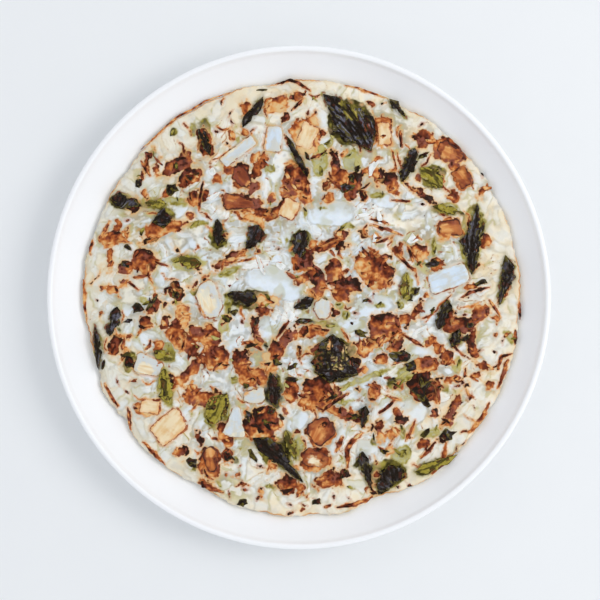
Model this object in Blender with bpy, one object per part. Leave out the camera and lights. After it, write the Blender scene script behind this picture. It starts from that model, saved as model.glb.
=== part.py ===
"""Savoury vegetable pancake on a round rimless plate, in metres, +Z up, origin under the plate's centre.

The plate is one turned solid. The pancake is one solid with an uneven top and a ragged edge, and the
small browned scraps are fused to it. Larger pieces of chopped stem sit in pockets in its top. Wilted
leaves are thin wavy solids that lie on the pancake and on each other.

Places on the pancake are read from a square top view, in its pixels, and turned into metres by place().
"""

import math
import random
from dataclasses import dataclass

import bmesh
import bpy
from mathutils import Vector, noise
from mathutils.bvhtree import BVHTree
from mathutils.geometry import delaunay_2d_cdt

MM = 0.001

# The plate
PLATE_RADIUS = 130 * MM
PLATE_HEIGHT = 21 * MM
PLATE_FLOOR = 5.5 * MM
PLATE_UNDERSIDE = 1.5 * MM
WELL_RADIUS = 109 * MM
BASE_RADIUS = 108 * MM
WALL_POWER = 1.5
LIP_RADIUS = 1.6 * MM
FOOT_RADIUS = 80 * MM
FOOT_WIDTH = 4 * MM
WALL_STEPS = 5
LIP_STEPS = 4
PLATE_SEGMENTS = 72

# The top view that places are read from, in its pixels
VIEW_PLATE_CENTRE_PX = (299.0, 297.5)
VIEW_PLATE_WIDTH_PX = 500.0
VIEW_PANCAKE_CENTRE_PX = (302.0, 298.0)

# The pancake. Its edge has shallow dents, each with an angle in degrees, a depth and a half width in degrees
PANCAKE_RADIUS = 114.2 * MM
EDGE_THICKNESS = 2.2 * MM
SHOULDER_THICKNESS = 3.4 * MM
SHOULDER_WIDTH = 2.4 * MM
DOME_THICKNESS = 2.6 * MM
CRUMPLE_WAVES = ((9 * MM, 0.85 * MM), (19 * MM, 0.55 * MM))
EDGE_WAVES = ((9 * MM, 1.1 * MM), (26 * MM, 0.8 * MM))
EDGE_DENTS = (
    (61, 1.6 * MM, 3),
    (98, 1.2 * MM, 5),
    (144, 1.8 * MM, 3),
    (194, 1.5 * MM, 8),
    (214, 3.6 * MM, 2.6),
    (242, 2.6 * MM, 6),
    (274, 1.6 * MM, 3),
    (291, 2.6 * MM, 6),
)
EDGE_POINTS = 150
TOP_SPACING = 6.2 * MM
TOUCH_GAP = 0.5 * MM
UNDERSIDE_RING_MARGIN = 1 * MM
SEED = 12

# What lies on the pancake. Spreads are the least and the most share of a size that a piece can have
CLEARANCE = 0.3 * MM
LEAF_THICKNESS = 0.7 * MM
LEAF_WAVE = 0.6 * MM
LEAF_WAVE_LENGTH = 9 * MM
LEAF_WAVE_SLANT = 0.4
LEAF_TEAR_SPREAD = (0.7, 1)
LEAF_SPACING = 4.4 * MM
LEAF_EDGE_MARGIN = 1.848 * MM
LEAF_SEED = SEED + 500
DRAPE_REACH = 0.8 * MM
DRAPE_POINTS = 6
LIFT_SAMPLES = 6
STEM_DEPTH = 3.2 * MM
STEM_BEVEL = 0.8 * MM
STEM_CORNER = 0.24
STEM_CORNER_SPREAD = (0.6, 1.2)
STEM_LENGTH_SPREAD = (0.9, 1.04)
STEM_WIDTH_SPREAD = (0.88, 1.06)
POCKET_FLOOR = 0.9 * MM
CUTTER_RISE = 10 * MM
SCRAP_HEIGHT = 1.0 * MM
SCRAP_ROOT = 1.3 * MM
SCRAP_SIDES = 7
SCRAP_CROWN = 0.7
SCRAP_ROUGHNESS = 0.14
SCRAP_MARGIN = 0.7 * MM
SCRAP_SEED = SEED * 1000


@dataclass
class Stem:
    """A piece of chopped stem: its middle in the top view, its size and the turn of its length.

    Its far end is narrower by the share taper, and corner is the share of its half width that is clipped.
    """

    finish: str
    middle_px: tuple
    length: float
    width: float
    turn: float
    taper: float = 0.0
    corner: float = STEM_CORNER
    proud: float = 0.9 * MM


@dataclass
class Leaf:
    """A wilted leaf: its stalk end and its tip in the top view, and its reach to either side.

    The reaches are in millimetres from the straight line between stalk and tip, at even steps.
    """

    finish: str
    stalk_px: tuple
    tip_px: tuple
    left: tuple
    right: tuple


@dataclass
class Scrap:
    """A small browned scrap, fused to the pancake: its middle in the top view, its size and turn."""

    middle_px: tuple
    length: float
    width: float
    turn: float


STEMS = [
    Stem("white", (448, 278), 22 * MM, 11 * MM, 19),
    Stem("white", (209, 300), 20 * MM, 13 * MM, -72, 0.1, 0.7),
    Stem("white", (149, 366), 14.5 * MM, 11.5 * MM, -16, 0.25, 0.35),
    Stem("white", (273, 139), 13 * MM, 9 * MM, 84),
    Stem("white", (238, 151), 22 * MM, 6 * MM, 38),
    Stem("white", (254, 396), 11.5 * MM, 8.5 * MM, 190, 0.3, 0.5),
    Stem("white", (235, 422), 16.5 * MM, 12.5 * MM, 84, 0.7, 0.3),
    Stem("white", (323, 309), 11 * MM, 9.5 * MM, 75, 0.0, 0.7),
    Stem("tan", (169, 427), 18 * MM, 13 * MM, 37),
    Stem("tan", (150, 407), 10.5 * MM, 7.5 * MM, -12),
    Stem("tan", (307, 136), 13.5 * MM, 9.5 * MM, 68),
    Stem("tan", (384, 133), 12.5 * MM, 7 * MM, -84),
    Stem("tan", (289, 209), 10.5 * MM, 9 * MM, 60),
    Stem("brown", (321, 431), 14.5 * MM, 13 * MM, 34, 0.1, 0.4),
    Stem("brown", (316, 459), 15 * MM, 11.5 * MM, -14, 0.4, 0.45),
    Stem("brown", (211, 460), 14 * MM, 10 * MM, -84, 0.55, 0.5),
    Stem("brown", (450, 228), 12.5 * MM, 9.5 * MM, 8),
    Stem("brown", (463, 177), 11 * MM, 8.5 * MM, -60),
    Stem("brown", (450, 153), 14.5 * MM, 10.5 * MM, -32, 0.15, 0.6),
    Stem("brown", (239, 202), 17 * MM, 9.5 * MM, -6, 0.55, 0.6),
    Stem("brown", (242, 177), 12 * MM, 9 * MM, -55, 0.25, 0.6),
]

LEAVES = [
    Leaf("dark", (371, 151), (322, 92), (3.5, 8, 9.5, 6, 2.5), (10, 12.5, 11, 8.5, 5.5)),
    Leaf("dark", (472, 275), (478, 201), (3.3, 5.5, 9.5, 5, 4, 1), (2.5, 3, 3.5, 5, 5, 1.2)),
    Leaf("dark", (506, 255), (500, 306), (5.5, 6.5, 4.5, 2), (1.5, 1, 1, 1.5)),
    Leaf("dark", (117, 305), (109, 337), (3.5, 4, 2.5), (2.5, 2.5, 3.5)),
    Leaf("dark", (94, 324), (98, 374), (1.5, 3.5, 2.5, 1), (1, 2, 1.5, 1)),
    Leaf("dark", (108, 199), (142, 206), (5, 4, 3), (2.5, 3, 2)),
    Leaf("dark", (162, 205), (164, 229), (3.5, 5), (3, 6)),
    Leaf("dark", (198, 127), (210, 155), (3, 3.5, 2.5), (2, 2, 2)),
    Leaf("dark", (263, 95), (242, 128), (3.5, 3, 2), (1.5, 2.5, 3)),
    Leaf("dark", (389, 98), (407, 118), (3, 1.5), (2.5, 1.5)),
    Leaf("dark", (285, 134), (309, 178), (1.5, 2.5, 2, 1), (1, 2, 2.5, 1.5)),
    Leaf("dark", (416, 146), (402, 182), (3, 4, 4, 2), (2.5, 3.5, 3, 3.5)),
    Leaf("dark", (217, 217), (217, 247), (3, 4, 4.5), (1.5, 2.5, 2)),
    Leaf("dark", (259, 224), (246, 250), (6, 5.5, 4.5), (4.5, 3, 2)),
    Leaf("dark", (305, 229), (297, 259), (3.5, 4.5, 4.5), (6, 6.5, 4)),
    Leaf("dark", (226, 294), (259, 300), (3, 3, 4.5), (3, 5.5, 4.5)),
    Leaf("dark", (293, 308), (314, 298), (1.5, 2.5, 2.5), (2, 5, 4)),
    Leaf("dark", (448, 299), (438, 331), (4, 3.5, 3), (2.5, 3, 3.5)),
    Leaf("dark", (460, 329), (452, 348), (3, 3), (3.5, 3.5)),
    Leaf("dark", (333, 334), (330, 383), (8.5, 9, 15.5, 14), (7, 10, 11, 8.5)),
    Leaf("dark", (270, 371), (276, 409), (3.5, 4.5, 3.5), (3, 3, 3.5)),
    Leaf("dark", (252, 438), (304, 483), (7, 9, 5, 2.5), (3, 3, 2, 1.5)),
    Leaf("dark", (365, 404), (362, 428), (3, 2.5), (3, 2.5)),
    Leaf("dark", (361, 449), (372, 491), (3, 3.5, 1), (3.5, 3, 2)),
    Leaf("dark", (406, 468), (377, 497), (3, 2.5, 2), (7.5, 9, 5.5)),
    Leaf("olive", (144, 202), (167, 204), (2.5, 3), (3, 2.5)),
    Leaf("olive", (420, 167), (443, 188), (3.5, 6, 5), (3.5, 3.5, 3.5)),
    Leaf("olive", (227, 393), (209, 428), (4.5, 5, 3.5), (6.5, 7, 5)),
    Leaf("olive", (286, 430), (296, 460), (2, 3, 2.5), (3, 3, 2)),
    Leaf("olive", (415, 472), (457, 455), (2.5, 2, 1), (4, 4, 3)),
    Leaf("olive", (153, 350), (174, 361), (3, 3.5), (3.5, 2.5)),
    Leaf("olive", (163, 367), (168, 405), (3, 4.5, 3), (3, 4, 4.5)),
    Leaf("olive", (171, 261), (204, 263), (3, 3.5, 2.5), (2.5, 4, 3)),
    Leaf("olive", (407, 272), (404, 301), (2.5, 3, 2), (2, 3, 2.5)),
    Leaf("olive", (433, 206), (459, 213), (2.5, 3.5), (3, 2.5)),
]

SCRAPS = [
    Scrap((181, 162), 9 * MM, 6 * MM, 30),
    Scrap((185, 178), 7 * MM, 5 * MM, 80),
    Scrap((196, 195), 5.5 * MM, 5 * MM, 0),
    Scrap((143, 262), 11 * MM, 9 * MM, -30),
    Scrap((126, 266), 7 * MM, 5 * MM, -10),
    Scrap((179, 287), 9 * MM, 8 * MM, 40),
    Scrap((152, 304), 9 * MM, 4 * MM, 62),
    Scrap((138, 310), 7 * MM, 5 * MM, 0),
    Scrap((144, 323), 6 * MM, 5.5 * MM, 0),
    Scrap((183, 342), 10 * MM, 7 * MM, -50),
    Scrap((190, 373), 15 * MM, 4 * MM, 40),
    Scrap((213, 336), 8 * MM, 5 * MM, -50),
    Scrap((218, 358), 11 * MM, 9 * MM, 20),
    Scrap((190, 398), 9 * MM, 5 * MM, 20),
    Scrap((199, 438), 8 * MM, 3 * MM, -70),
    Scrap((293, 178), 12 * MM, 6 * MM, 75),
    Scrap((305, 193), 8 * MM, 4 * MM, 80),
    Scrap((335, 164), 12 * MM, 4 * MM, 85),
    Scrap((341, 184), 9 * MM, 6 * MM, -20),
    Scrap((354, 187), 13 * MM, 5.5 * MM, 75),
    Scrap((392, 181), 8 * MM, 5 * MM, -60),
    Scrap((425, 197), 11 * MM, 3 * MM, -35),
    Scrap((399, 213), 7 * MM, 5 * MM, 0),
    Scrap((410, 223), 7 * MM, 4 * MM, 80),
    Scrap((429, 233), 8 * MM, 4 * MM, -35),
    Scrap((341, 237), 5.5 * MM, 5 * MM, 0),
    Scrap((315, 273), 15 * MM, 7 * MM, -60),
    Scrap((302, 279), 7 * MM, 5 * MM, 0),
    Scrap((336, 272), 12 * MM, 8 * MM, 80),
    Scrap((346, 284), 14 * MM, 6 * MM, 4),
    Scrap((365, 257), 8 * MM, 5 * MM, 10),
    Scrap((374, 269), 11 * MM, 8 * MM, -30),
    Scrap((390, 270), 9 * MM, 5 * MM, 60),
    Scrap((382, 285), 11 * MM, 5 * MM, -58),
    Scrap((385, 323), 12 * MM, 8 * MM, 40),
    Scrap((376, 340), 10 * MM, 7 * MM, -30),
    Scrap((396, 341), 11 * MM, 8 * MM, 60),
    Scrap((406, 320), 8 * MM, 4 * MM, 20),
    Scrap((418, 311), 11 * MM, 3 * MM, 65),
    Scrap((470, 325), 8 * MM, 5 * MM, 10),
    Scrap((481, 314), 8 * MM, 5 * MM, 60),
    Scrap((473, 348), 9 * MM, 3 * MM, -75),
    Scrap((447, 357), 7 * MM, 6.5 * MM, 0),
    Scrap((440, 393), 9 * MM, 3 * MM, -80),
    Scrap((484, 366), 7 * MM, 4 * MM, -10),
    Scrap((451, 411), 15 * MM, 4 * MM, 60),
    Scrap((448, 436), 9 * MM, 5.5 * MM, -30),
    Scrap((487, 243), 5 * MM, 4 * MM, 40),
    Scrap((484, 190), 9 * MM, 3 * MM, 85),
    Scrap((475, 291), 15 * MM, 3.5 * MM, 28),
    Scrap((264, 312), 7 * MM, 5.5 * MM, -20),
    Scrap((256, 329), 10 * MM, 4 * MM, 86),
    Scrap((247, 343), 11 * MM, 4 * MM, -20),
    Scrap((241, 362), 11 * MM, 6 * MM, 72),
    Scrap((288, 338), 11 * MM, 4 * MM, 50),
    Scrap((275, 352), 10 * MM, 5 * MM, -65),
    Scrap((294, 379), 7 * MM, 5 * MM, 0),
    Scrap((257, 376), 9 * MM, 7 * MM, 0),
    Scrap((261, 432), 9 * MM, 7 * MM, 60),
    Scrap((317, 388), 13 * MM, 8 * MM, 60),
    Scrap((330, 398), 12 * MM, 5 * MM, 22),
    Scrap((339, 413), 12 * MM, 5 * MM, -12),
    Scrap((355, 441), 14 * MM, 4 * MM, 52),
    Scrap((327, 480), 12 * MM, 5 * MM, 42),
    Scrap((289, 483), 12 * MM, 7 * MM, -38),
    Scrap((375, 393), 9 * MM, 4 * MM, -70),
    Scrap((400, 357), 8 * MM, 6 * MM, -20),
    Scrap((401, 422), 7 * MM, 4 * MM, -20),
    Scrap((345, 474), 5 * MM, 4 * MM, 45),
    Scrap((242, 503), 6.5 * MM, 5 * MM, 0),
    Scrap((425, 363), 11 * MM, 6.5 * MM, 8),
    Scrap((424, 138), 9 * MM, 8 * MM, 20),
    Scrap((192, 465), 9 * MM, 6 * MM, -35),
    Scrap((422, 387), 11 * MM, 7 * MM, 30),
    Scrap((354, 369), 8 * MM, 6 * MM, 30),
]

COLOURS = {
    "plate": (0.90, 0.91, 0.93),
    "pancake": (0.80, 0.74, 0.58),
    "white": (0.80, 0.83, 0.82),
    "tan": (0.82, 0.60, 0.33),
    "brown": (0.42, 0.16, 0.06),
    "dark": (0.045, 0.045, 0.04),
    "olive": (0.20, 0.19, 0.03),
}
ROUGHNESSES = {
    "plate": 0.25,
    "pancake": 0.5,
    "white": 0.4,
    "tan": 0.5,
    "brown": 0.45,
    "dark": 0.4,
    "olive": 0.45,
}


def place(pixel):
    """The point in metres under a pixel of the top view."""
    scale = 2 * PLATE_RADIUS / VIEW_PLATE_WIDTH_PX
    x = (pixel[0] - VIEW_PLATE_CENTRE_PX[0]) * scale
    y = (VIEW_PLATE_CENTRE_PX[1] - pixel[1]) * scale
    return Vector((x, y))


PANCAKE_CENTRE = place(VIEW_PANCAKE_CENTRE_PX)


def clear_scene():
    for obj in list(bpy.data.objects):
        bpy.data.objects.remove(obj)


def finish_of(kind):
    """The material of one kind of surface, made once."""
    if kind in bpy.data.materials:
        return bpy.data.materials[kind]
    material = bpy.data.materials.new(kind)
    material.use_nodes = True
    shader = material.node_tree.nodes["Principled BSDF"]
    shader.inputs["Base Color"].default_value = (*COLOURS[kind], 1.0)
    shader.inputs["Roughness"].default_value = ROUGHNESSES[kind]
    shader.inputs["Metallic"].default_value = 0.0
    return material


def new_object(name, points, faces, kind):
    """A mesh object of these points and faces, with its faces turned outwards."""
    mesh = bpy.data.meshes.new(name)
    mesh.from_pydata([tuple(point) for point in points], [], faces)
    shaped = bmesh.new()
    shaped.from_mesh(mesh)
    bmesh.ops.recalc_face_normals(shaped, faces=shaped.faces)
    shaped.to_mesh(mesh)
    shaped.free()
    mesh.materials.append(finish_of(kind))
    obj = bpy.data.objects.new(name, mesh)
    bpy.context.scene.collection.objects.link(obj)
    return obj


def waves(point, layers):
    """Smooth noise at a flat point: each layer is a wave length and a height."""
    total = 0.0
    for length, height in layers:
        total += height * noise.noise(Vector((point[0] / length, point[1] / length, SEED + height / MM)))
    return total


def well_height(radius):
    """Height of the plate's upper surface."""
    if radius <= WELL_RADIUS:
        return PLATE_FLOOR
    across = (radius - WELL_RADIUS) / (PLATE_RADIUS - 2 * LIP_RADIUS - WELL_RADIUS)
    return PLATE_FLOOR + (PLATE_HEIGHT - LIP_RADIUS - PLATE_FLOOR) * across**WALL_POWER


def outer_height(radius):
    """Height of the plate's outer surface, from its base out to the lip."""
    across = (radius - BASE_RADIUS) / (PLATE_RADIUS - BASE_RADIUS)
    return PLATE_UNDERSIDE + (PLATE_HEIGHT - LIP_RADIUS - PLATE_UNDERSIDE) * across**WALL_POWER


def plate_profile():
    """Half the plate's section, from the middle of the well over the lip to the middle of the base."""
    inner_lip = PLATE_RADIUS - 2 * LIP_RADIUS
    points = [(0.0, PLATE_FLOOR), (WELL_RADIUS / 2, PLATE_FLOOR)]
    for step in range(WALL_STEPS + 1):
        radius = WELL_RADIUS + (inner_lip - WELL_RADIUS) * step / WALL_STEPS
        points.append((radius, well_height(radius)))
    for step in range(1, LIP_STEPS + 1):
        angle = math.pi * (1 - step / LIP_STEPS)
        radius = PLATE_RADIUS - LIP_RADIUS + LIP_RADIUS * math.cos(angle)
        points.append((radius, PLATE_HEIGHT - LIP_RADIUS + LIP_RADIUS * math.sin(angle)))
    for step in range(1, WALL_STEPS + 1):
        radius = PLATE_RADIUS + (BASE_RADIUS - PLATE_RADIUS) * step / WALL_STEPS
        points.append((radius, outer_height(radius)))
    foot_outer = FOOT_RADIUS + FOOT_WIDTH / 2
    foot_inner = FOOT_RADIUS - FOOT_WIDTH / 2
    points += [(foot_outer, PLATE_UNDERSIDE), (foot_outer, 0.0), (foot_inner, 0.0)]
    points += [(foot_inner, PLATE_UNDERSIDE), (0.0, PLATE_UNDERSIDE)]
    return points


def make_plate():
    profile = plate_profile()
    mesh = bpy.data.meshes.new("plate")
    edges = [(i, i + 1) for i in range(len(profile) - 1)]
    mesh.from_pydata([(radius, 0.0, height) for radius, height in profile], edges, [])
    mesh.materials.append(finish_of("plate"))
    plate = bpy.data.objects.new("plate", mesh)
    bpy.context.scene.collection.objects.link(plate)
    turn = plate.modifiers.new("turn", "SCREW")
    turn.steps = PLATE_SEGMENTS
    turn.render_steps = PLATE_SEGMENTS
    turn.use_merge_vertices = True
    turn.merge_threshold = 0.00001
    turn.use_smooth_shade = True
    return plate


def pancake_reach(angle):
    """Radius of the pancake's ragged outline at an angle about its own centre."""
    on_edge = Vector((math.cos(angle), math.sin(angle))) * PANCAKE_RADIUS
    reach = PANCAKE_RADIUS + waves(on_edge, EDGE_WAVES)
    for dent_angle, depth, half_width in EDGE_DENTS:
        away = (math.degrees(angle) - dent_angle + 180) % 360 - 180
        reach -= depth * math.exp(-((away / half_width) ** 2))
    return reach


def pancake_top(point):
    """Height of the pancake's top, without the scraps."""
    from_centre = Vector(point) - PANCAKE_CENTRE
    reach = pancake_reach(math.atan2(from_centre.y, from_centre.x))
    inset = max(0.0, reach - from_centre.length)
    shoulder = 1 - math.exp(-inset / SHOULDER_WIDTH)
    dome = 1 - (1 - inset / reach) ** 2
    thickness = EDGE_THICKNESS + SHOULDER_THICKNESS * shoulder + DOME_THICKNESS * dome
    return pancake_underside(point) + thickness + waves(point, CRUMPLE_WAVES) * shoulder


def pancake_underside(point):
    """Height of the pancake's underside, which follows the plate."""
    return well_height(Vector(point).length) + TOUCH_GAP


def triangulate(outline, inner):
    """Triangles of a flat outline with points inside it. The points keep their order."""
    points = [Vector(point) for point in (*outline, *inner)]
    found, _, faces, *_ = delaunay_2d_cdt(points, [], [list(range(len(outline)))], 1, 1e-7)
    if len(found) != len(points):
        raise ValueError("two points of an outline coincide")
    return points, [list(face) for face in faces]


def inside(point, outline):
    """Whether a flat point lies inside an outline."""
    crossings = 0
    for a, b in zip(outline, [*outline[1:], outline[0]], strict=True):
        if (a[1] > point[1]) != (b[1] > point[1]):
            crossings += point[0] < a[0] + (b[0] - a[0]) * (point[1] - a[1]) / (b[1] - a[1])
    return crossings % 2 == 1


def distance_to(point, outline):
    """Distance from a flat point to an outline's edge."""
    nearest = math.inf
    for a, b in zip(outline, [*outline[1:], outline[0]], strict=True):
        a, b = Vector(a), Vector(b)
        along = (b - a) / max((b - a).length_squared, 1e-12)
        share = min(1.0, max(0.0, (Vector(point) - a).dot(along)))
        nearest = min(nearest, (a + (b - a) * share - Vector(point)).length)
    return nearest


def filling(outline, spacing, margin):
    """Points on a triangular lattice inside an outline, no nearer its edge than margin."""
    low = Vector((min(p[0] for p in outline), min(p[1] for p in outline)))
    high = Vector((max(p[0] for p in outline), max(p[1] for p in outline)))
    row_step = spacing * math.sqrt(3) / 2
    found = []
    for row in range(int((high.y - low.y) / row_step) + 1):
        y = low.y + row * row_step
        for column in range(int((high.x - low.x) / spacing) + 2):
            point = Vector((low.x + (column + 0.5 * (row % 2)) * spacing, y))
            if inside(point, outline) and distance_to(point, outline) > margin:
                found.append(point)
    return found


def circle(centre, radius, count):
    """Points of a circle about a flat centre; radius is a number or a function of the angle."""
    points = []
    for step in range(count):
        angle = 2 * math.pi * step / count
        reach = radius(angle) if callable(radius) else radius
        points.append(centre + Vector((math.cos(angle), math.sin(angle))) * reach)
    return points


def make_pancake_body():
    """The pancake without scraps and pockets: a fine uneven top and a plain underside."""
    outline = circle(PANCAKE_CENTRE, pancake_reach, EDGE_POINTS)
    shoulder = circle(PANCAKE_CENTRE, lambda angle: pancake_reach(angle) - SHOULDER_WIDTH, EDGE_POINTS)
    lattice = filling(shoulder, TOP_SPACING, TOP_SPACING / 2)
    upper, upper_faces = triangulate(outline, [*shoulder, *lattice])
    flat_ring = circle(Vector((0, 0)), WELL_RADIUS - UNDERSIDE_RING_MARGIN, EDGE_POINTS // 2)
    lower, lower_faces = triangulate(outline, [*flat_ring, Vector((0, 0))])
    points = [(*point, pancake_top(point)) for point in upper]
    points += [(*point, pancake_underside(point)) for point in lower]
    first_lower = len(upper)
    faces = upper_faces + [[first_lower + i for i in reversed(face)] for face in lower_faces]
    for i in range(EDGE_POINTS):
        j = (i + 1) % EDGE_POINTS
        faces += [[i, first_lower + i, first_lower + j], [i, first_lower + j, j]]
    return new_object("pancake", points, faces, "pancake")


def scrap_outline(scrap, dice):
    """A browned scrap's uneven rounded outline."""
    turn = math.radians(scrap.turn)
    along = Vector((math.cos(turn), math.sin(turn)))
    across = Vector((-along.y, along.x))
    points = []
    for step in range(SCRAP_SIDES):
        angle = 2 * math.pi * step / SCRAP_SIDES
        swell = 1 + dice.uniform(-SCRAP_ROUGHNESS, SCRAP_ROUGHNESS)
        sideways = across * math.sin(angle) * scrap.width / 2
        from_middle = along * math.cos(angle) * scrap.length / 2 + sideways
        points.append(place(scrap.middle_px) + from_middle * swell)
    return points


def stem_outline(stem, dice, spread=0.0):
    """A cut piece's outline: a four-sided shape with its corners clipped, grown by spread all round."""
    turn = math.radians(stem.turn)
    along = Vector((math.cos(turn), math.sin(turn)))
    across = Vector((-along.y, along.x))
    points = []
    for sign_x, sign_y in ((1, 1), (-1, 1), (-1, -1), (1, -1)):
        half_length = stem.length / 2 * dice.uniform(*STEM_LENGTH_SPREAD)
        half_width = stem.width / 2 * dice.uniform(*STEM_WIDTH_SPREAD)
        if sign_x > 0:
            half_width *= 1 - stem.taper
        half = Vector((half_length, half_width))
        clip = stem.corner * min(half) * dice.uniform(*STEM_CORNER_SPREAD)
        corners = [(half.x, half.y - clip), (half.x - clip, half.y)]
        if sign_x != sign_y:
            corners.reverse()
        for x, y in corners:
            from_middle = along * sign_x * (x + spread) + across * sign_y * (y + spread)
            points.append(place(stem.middle_px) + from_middle)
    return points


def prism(name, rings, kind):
    """A solid between stacked rings of points that all have the same count, closed by flat caps."""
    count = len(rings[0])
    points = [point for ring in rings for point in ring]
    faces = [list(range(count)), list(range(len(points) - count, len(points)))]
    for level in range(len(rings) - 1):
        for i in range(count):
            j = (i + 1) % count
            a, b = level * count + i, level * count + j
            faces.append([a, b, b + count, a + count])
    return new_object(name, points, faces, kind)


def raised(outline, height):
    return [Vector((point[0], point[1], height)) for point in outline]


def shrunk(outline, share):
    middle = sum((Vector(point) for point in outline), Vector((0, 0))) / len(outline)
    return [middle + (Vector(point) - middle) * share for point in outline]


def make_stem(stem, name, dice_seed):
    """A chopped piece that stands a little proud of the batter, and the cutter of its pocket."""
    outline = stem_outline(stem, random.Random(dice_seed))
    around = stem_outline(stem, random.Random(dice_seed), CLEARANCE)
    surface = [pancake_top(point) for point in outline]
    top = sum(surface) / len(surface) + stem.proud
    floor = max(pancake_underside(point) for point in around) + POCKET_FLOOR + CLEARANCE
    bottom = max(min(surface) - STEM_DEPTH, floor)
    inset = 1 - 2 * STEM_BEVEL / (stem.length + stem.width) * 2
    crown = raised(shrunk(outline, inset), top)
    obj = prism(name, [raised(outline, bottom), raised(outline, top - STEM_BEVEL / 2), crown], stem.finish)
    cutter_rings = [raised(around, bottom - CLEARANCE), raised(around, top + CUTTER_RISE)]
    cutter = prism("pocket_of_" + name, cutter_rings, "pancake")
    return obj, cutter, outline


def leaf_outline(leaf, dice):
    """A leaf's outline: its reaches on both sides, with a tear between each two of them."""
    stalk, tip = place(leaf.stalk_px), place(leaf.tip_px)
    run = tip - stalk
    across = Vector((-run.y, run.x)).normalized()
    sides = []
    for reaches, side in ((leaf.left, across), (leaf.right, -across)):
        edge = []
        for step, reach in enumerate(reaches, 1):
            edge.append(stalk + run * step / (len(reaches) + 1) + side * reach * MM)
            if step < len(reaches):
                torn = (reach + reaches[step]) / 2 * dice.uniform(*LEAF_TEAR_SPREAD)
                edge.append(stalk + run * (step + 0.5) / (len(reaches) + 1) + side * torn * MM)
        sides.append(edge)
    return [stalk, *sides[0], tip, *reversed(sides[1])]


def tree_of(obj):
    """The surface of an object that isn't moved or modified, ready for ray casts."""
    corners = [vertex.co.copy() for vertex in obj.data.vertices]
    return BVHTree.FromPolygons(corners, [tuple(polygon.vertices) for polygon in obj.data.polygons])


def surface_under(point, trees):
    """Height of the highest surface below a flat point, or None."""
    start = Vector((point[0], point[1], 10 * PLATE_HEIGHT))
    hits = [tree.ray_cast(start, Vector((0, 0, -1)))[0] for tree in trees]
    return max((hit.z for hit in hits if hit is not None), default=None)


def surface_near(point, trees):
    """Height of the highest surface at a flat point and close round it, so that narrow gaps don't count."""
    found = [surface_under(near, trees) for near in (point, *circle(point, DRAPE_REACH, DRAPE_POINTS))]
    return max((height for height in found if height is not None), default=None)


def lift_needed(flat, faces, heights, trees):
    """How far a thin sheet has to rise to keep its clearance all over, tested along its triangles."""
    needed = 0.0
    for face in faces:
        a, b, c = (flat[i] for i in face)
        za, zb, zc = (heights[i] for i in face)
        for i in range(LIFT_SAMPLES + 1):
            for j in range(LIFT_SAMPLES + 1 - i):
                u, v = i / LIFT_SAMPLES, j / LIFT_SAMPLES
                w = 1 - u - v
                under = surface_under(a * u + b * v + c * w, trees)
                if under is not None:
                    needed = max(needed, under + CLEARANCE - (za * u + zb * v + zc * w))
    return needed


def make_leaf(leaf, name, dice_seed, trees):
    """A thin wavy sheet that follows what lies under it. Both faces are split alike."""
    dice = random.Random(dice_seed)
    outline = leaf_outline(leaf, dice)
    inner = filling(outline, LEAF_SPACING, LEAF_EDGE_MARGIN)
    flat, faces = triangulate(outline, inner)
    run = (place(leaf.tip_px) - place(leaf.stalk_px)).normalized()
    phase = dice.uniform(0, 2 * math.pi)
    lower = []
    for point in flat:
        along = point.dot(run)
        sideways = point.dot(Vector((-run.y, run.x)))
        wave = math.sin(2 * math.pi * (sideways + LEAF_WAVE_SLANT * along) / LEAF_WAVE_LENGTH + phase)
        under = surface_near(point, trees)
        if under is None:
            under = pancake_underside(point)
        lower.append(under + CLEARANCE + LEAF_WAVE * (0.5 + 0.5 * wave))
    lift = lift_needed(flat, faces, lower, trees)
    points = [(*p, z + lift + LEAF_THICKNESS) for p, z in zip(flat, lower, strict=True)]
    points += [(*p, z + lift) for p, z in zip(flat, lower, strict=True)]
    count, rim = len(flat), len(outline)
    all_faces = [list(face) for face in faces] + [[count + i for i in reversed(face)] for face in faces]
    for i in range(rim):
        j = (i + 1) % rim
        all_faces += [[i, count + i, count + j], [i, count + j, j]]
    return new_object(name, points, all_faces, leaf.finish)


def make_scrap(scrap, outline, name):
    """A browned scrap with its root in the batter."""
    height = pancake_top(place(scrap.middle_px))
    root = raised(outline, height - SCRAP_ROOT)
    crown = raised(shrunk(outline, SCRAP_CROWN), height + SCRAP_HEIGHT)
    return prism(name, [root, crown], "pancake")


def join_by_boolean(target, others, operation):
    """Unites or cuts target with others in one Boolean, applies it and removes them."""
    group = bpy.data.collections.new(operation)
    for obj in others:
        group.objects.link(obj)
    modifier = target.modifiers.new(operation, "BOOLEAN")
    modifier.operation = operation
    modifier.operand_type = "COLLECTION"
    modifier.collection = group
    modifier.solver = "EXACT"
    evaluated = target.evaluated_get(bpy.context.evaluated_depsgraph_get())
    mesh = bpy.data.meshes.new_from_object(evaluated)
    target.modifiers.clear()
    target.data = mesh
    for obj in others:
        bpy.data.objects.remove(obj)
    bpy.data.collections.remove(group)


def lies_clear(outline, footprints, margin):
    """Whether an outline keeps its distance from every footprint."""
    for footprint in footprints:
        for point in outline:
            if inside(point, footprint) or distance_to(point, footprint) < margin:
                return False
        if any(inside(point, outline) for point in footprint):
            return False
    return True


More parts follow.
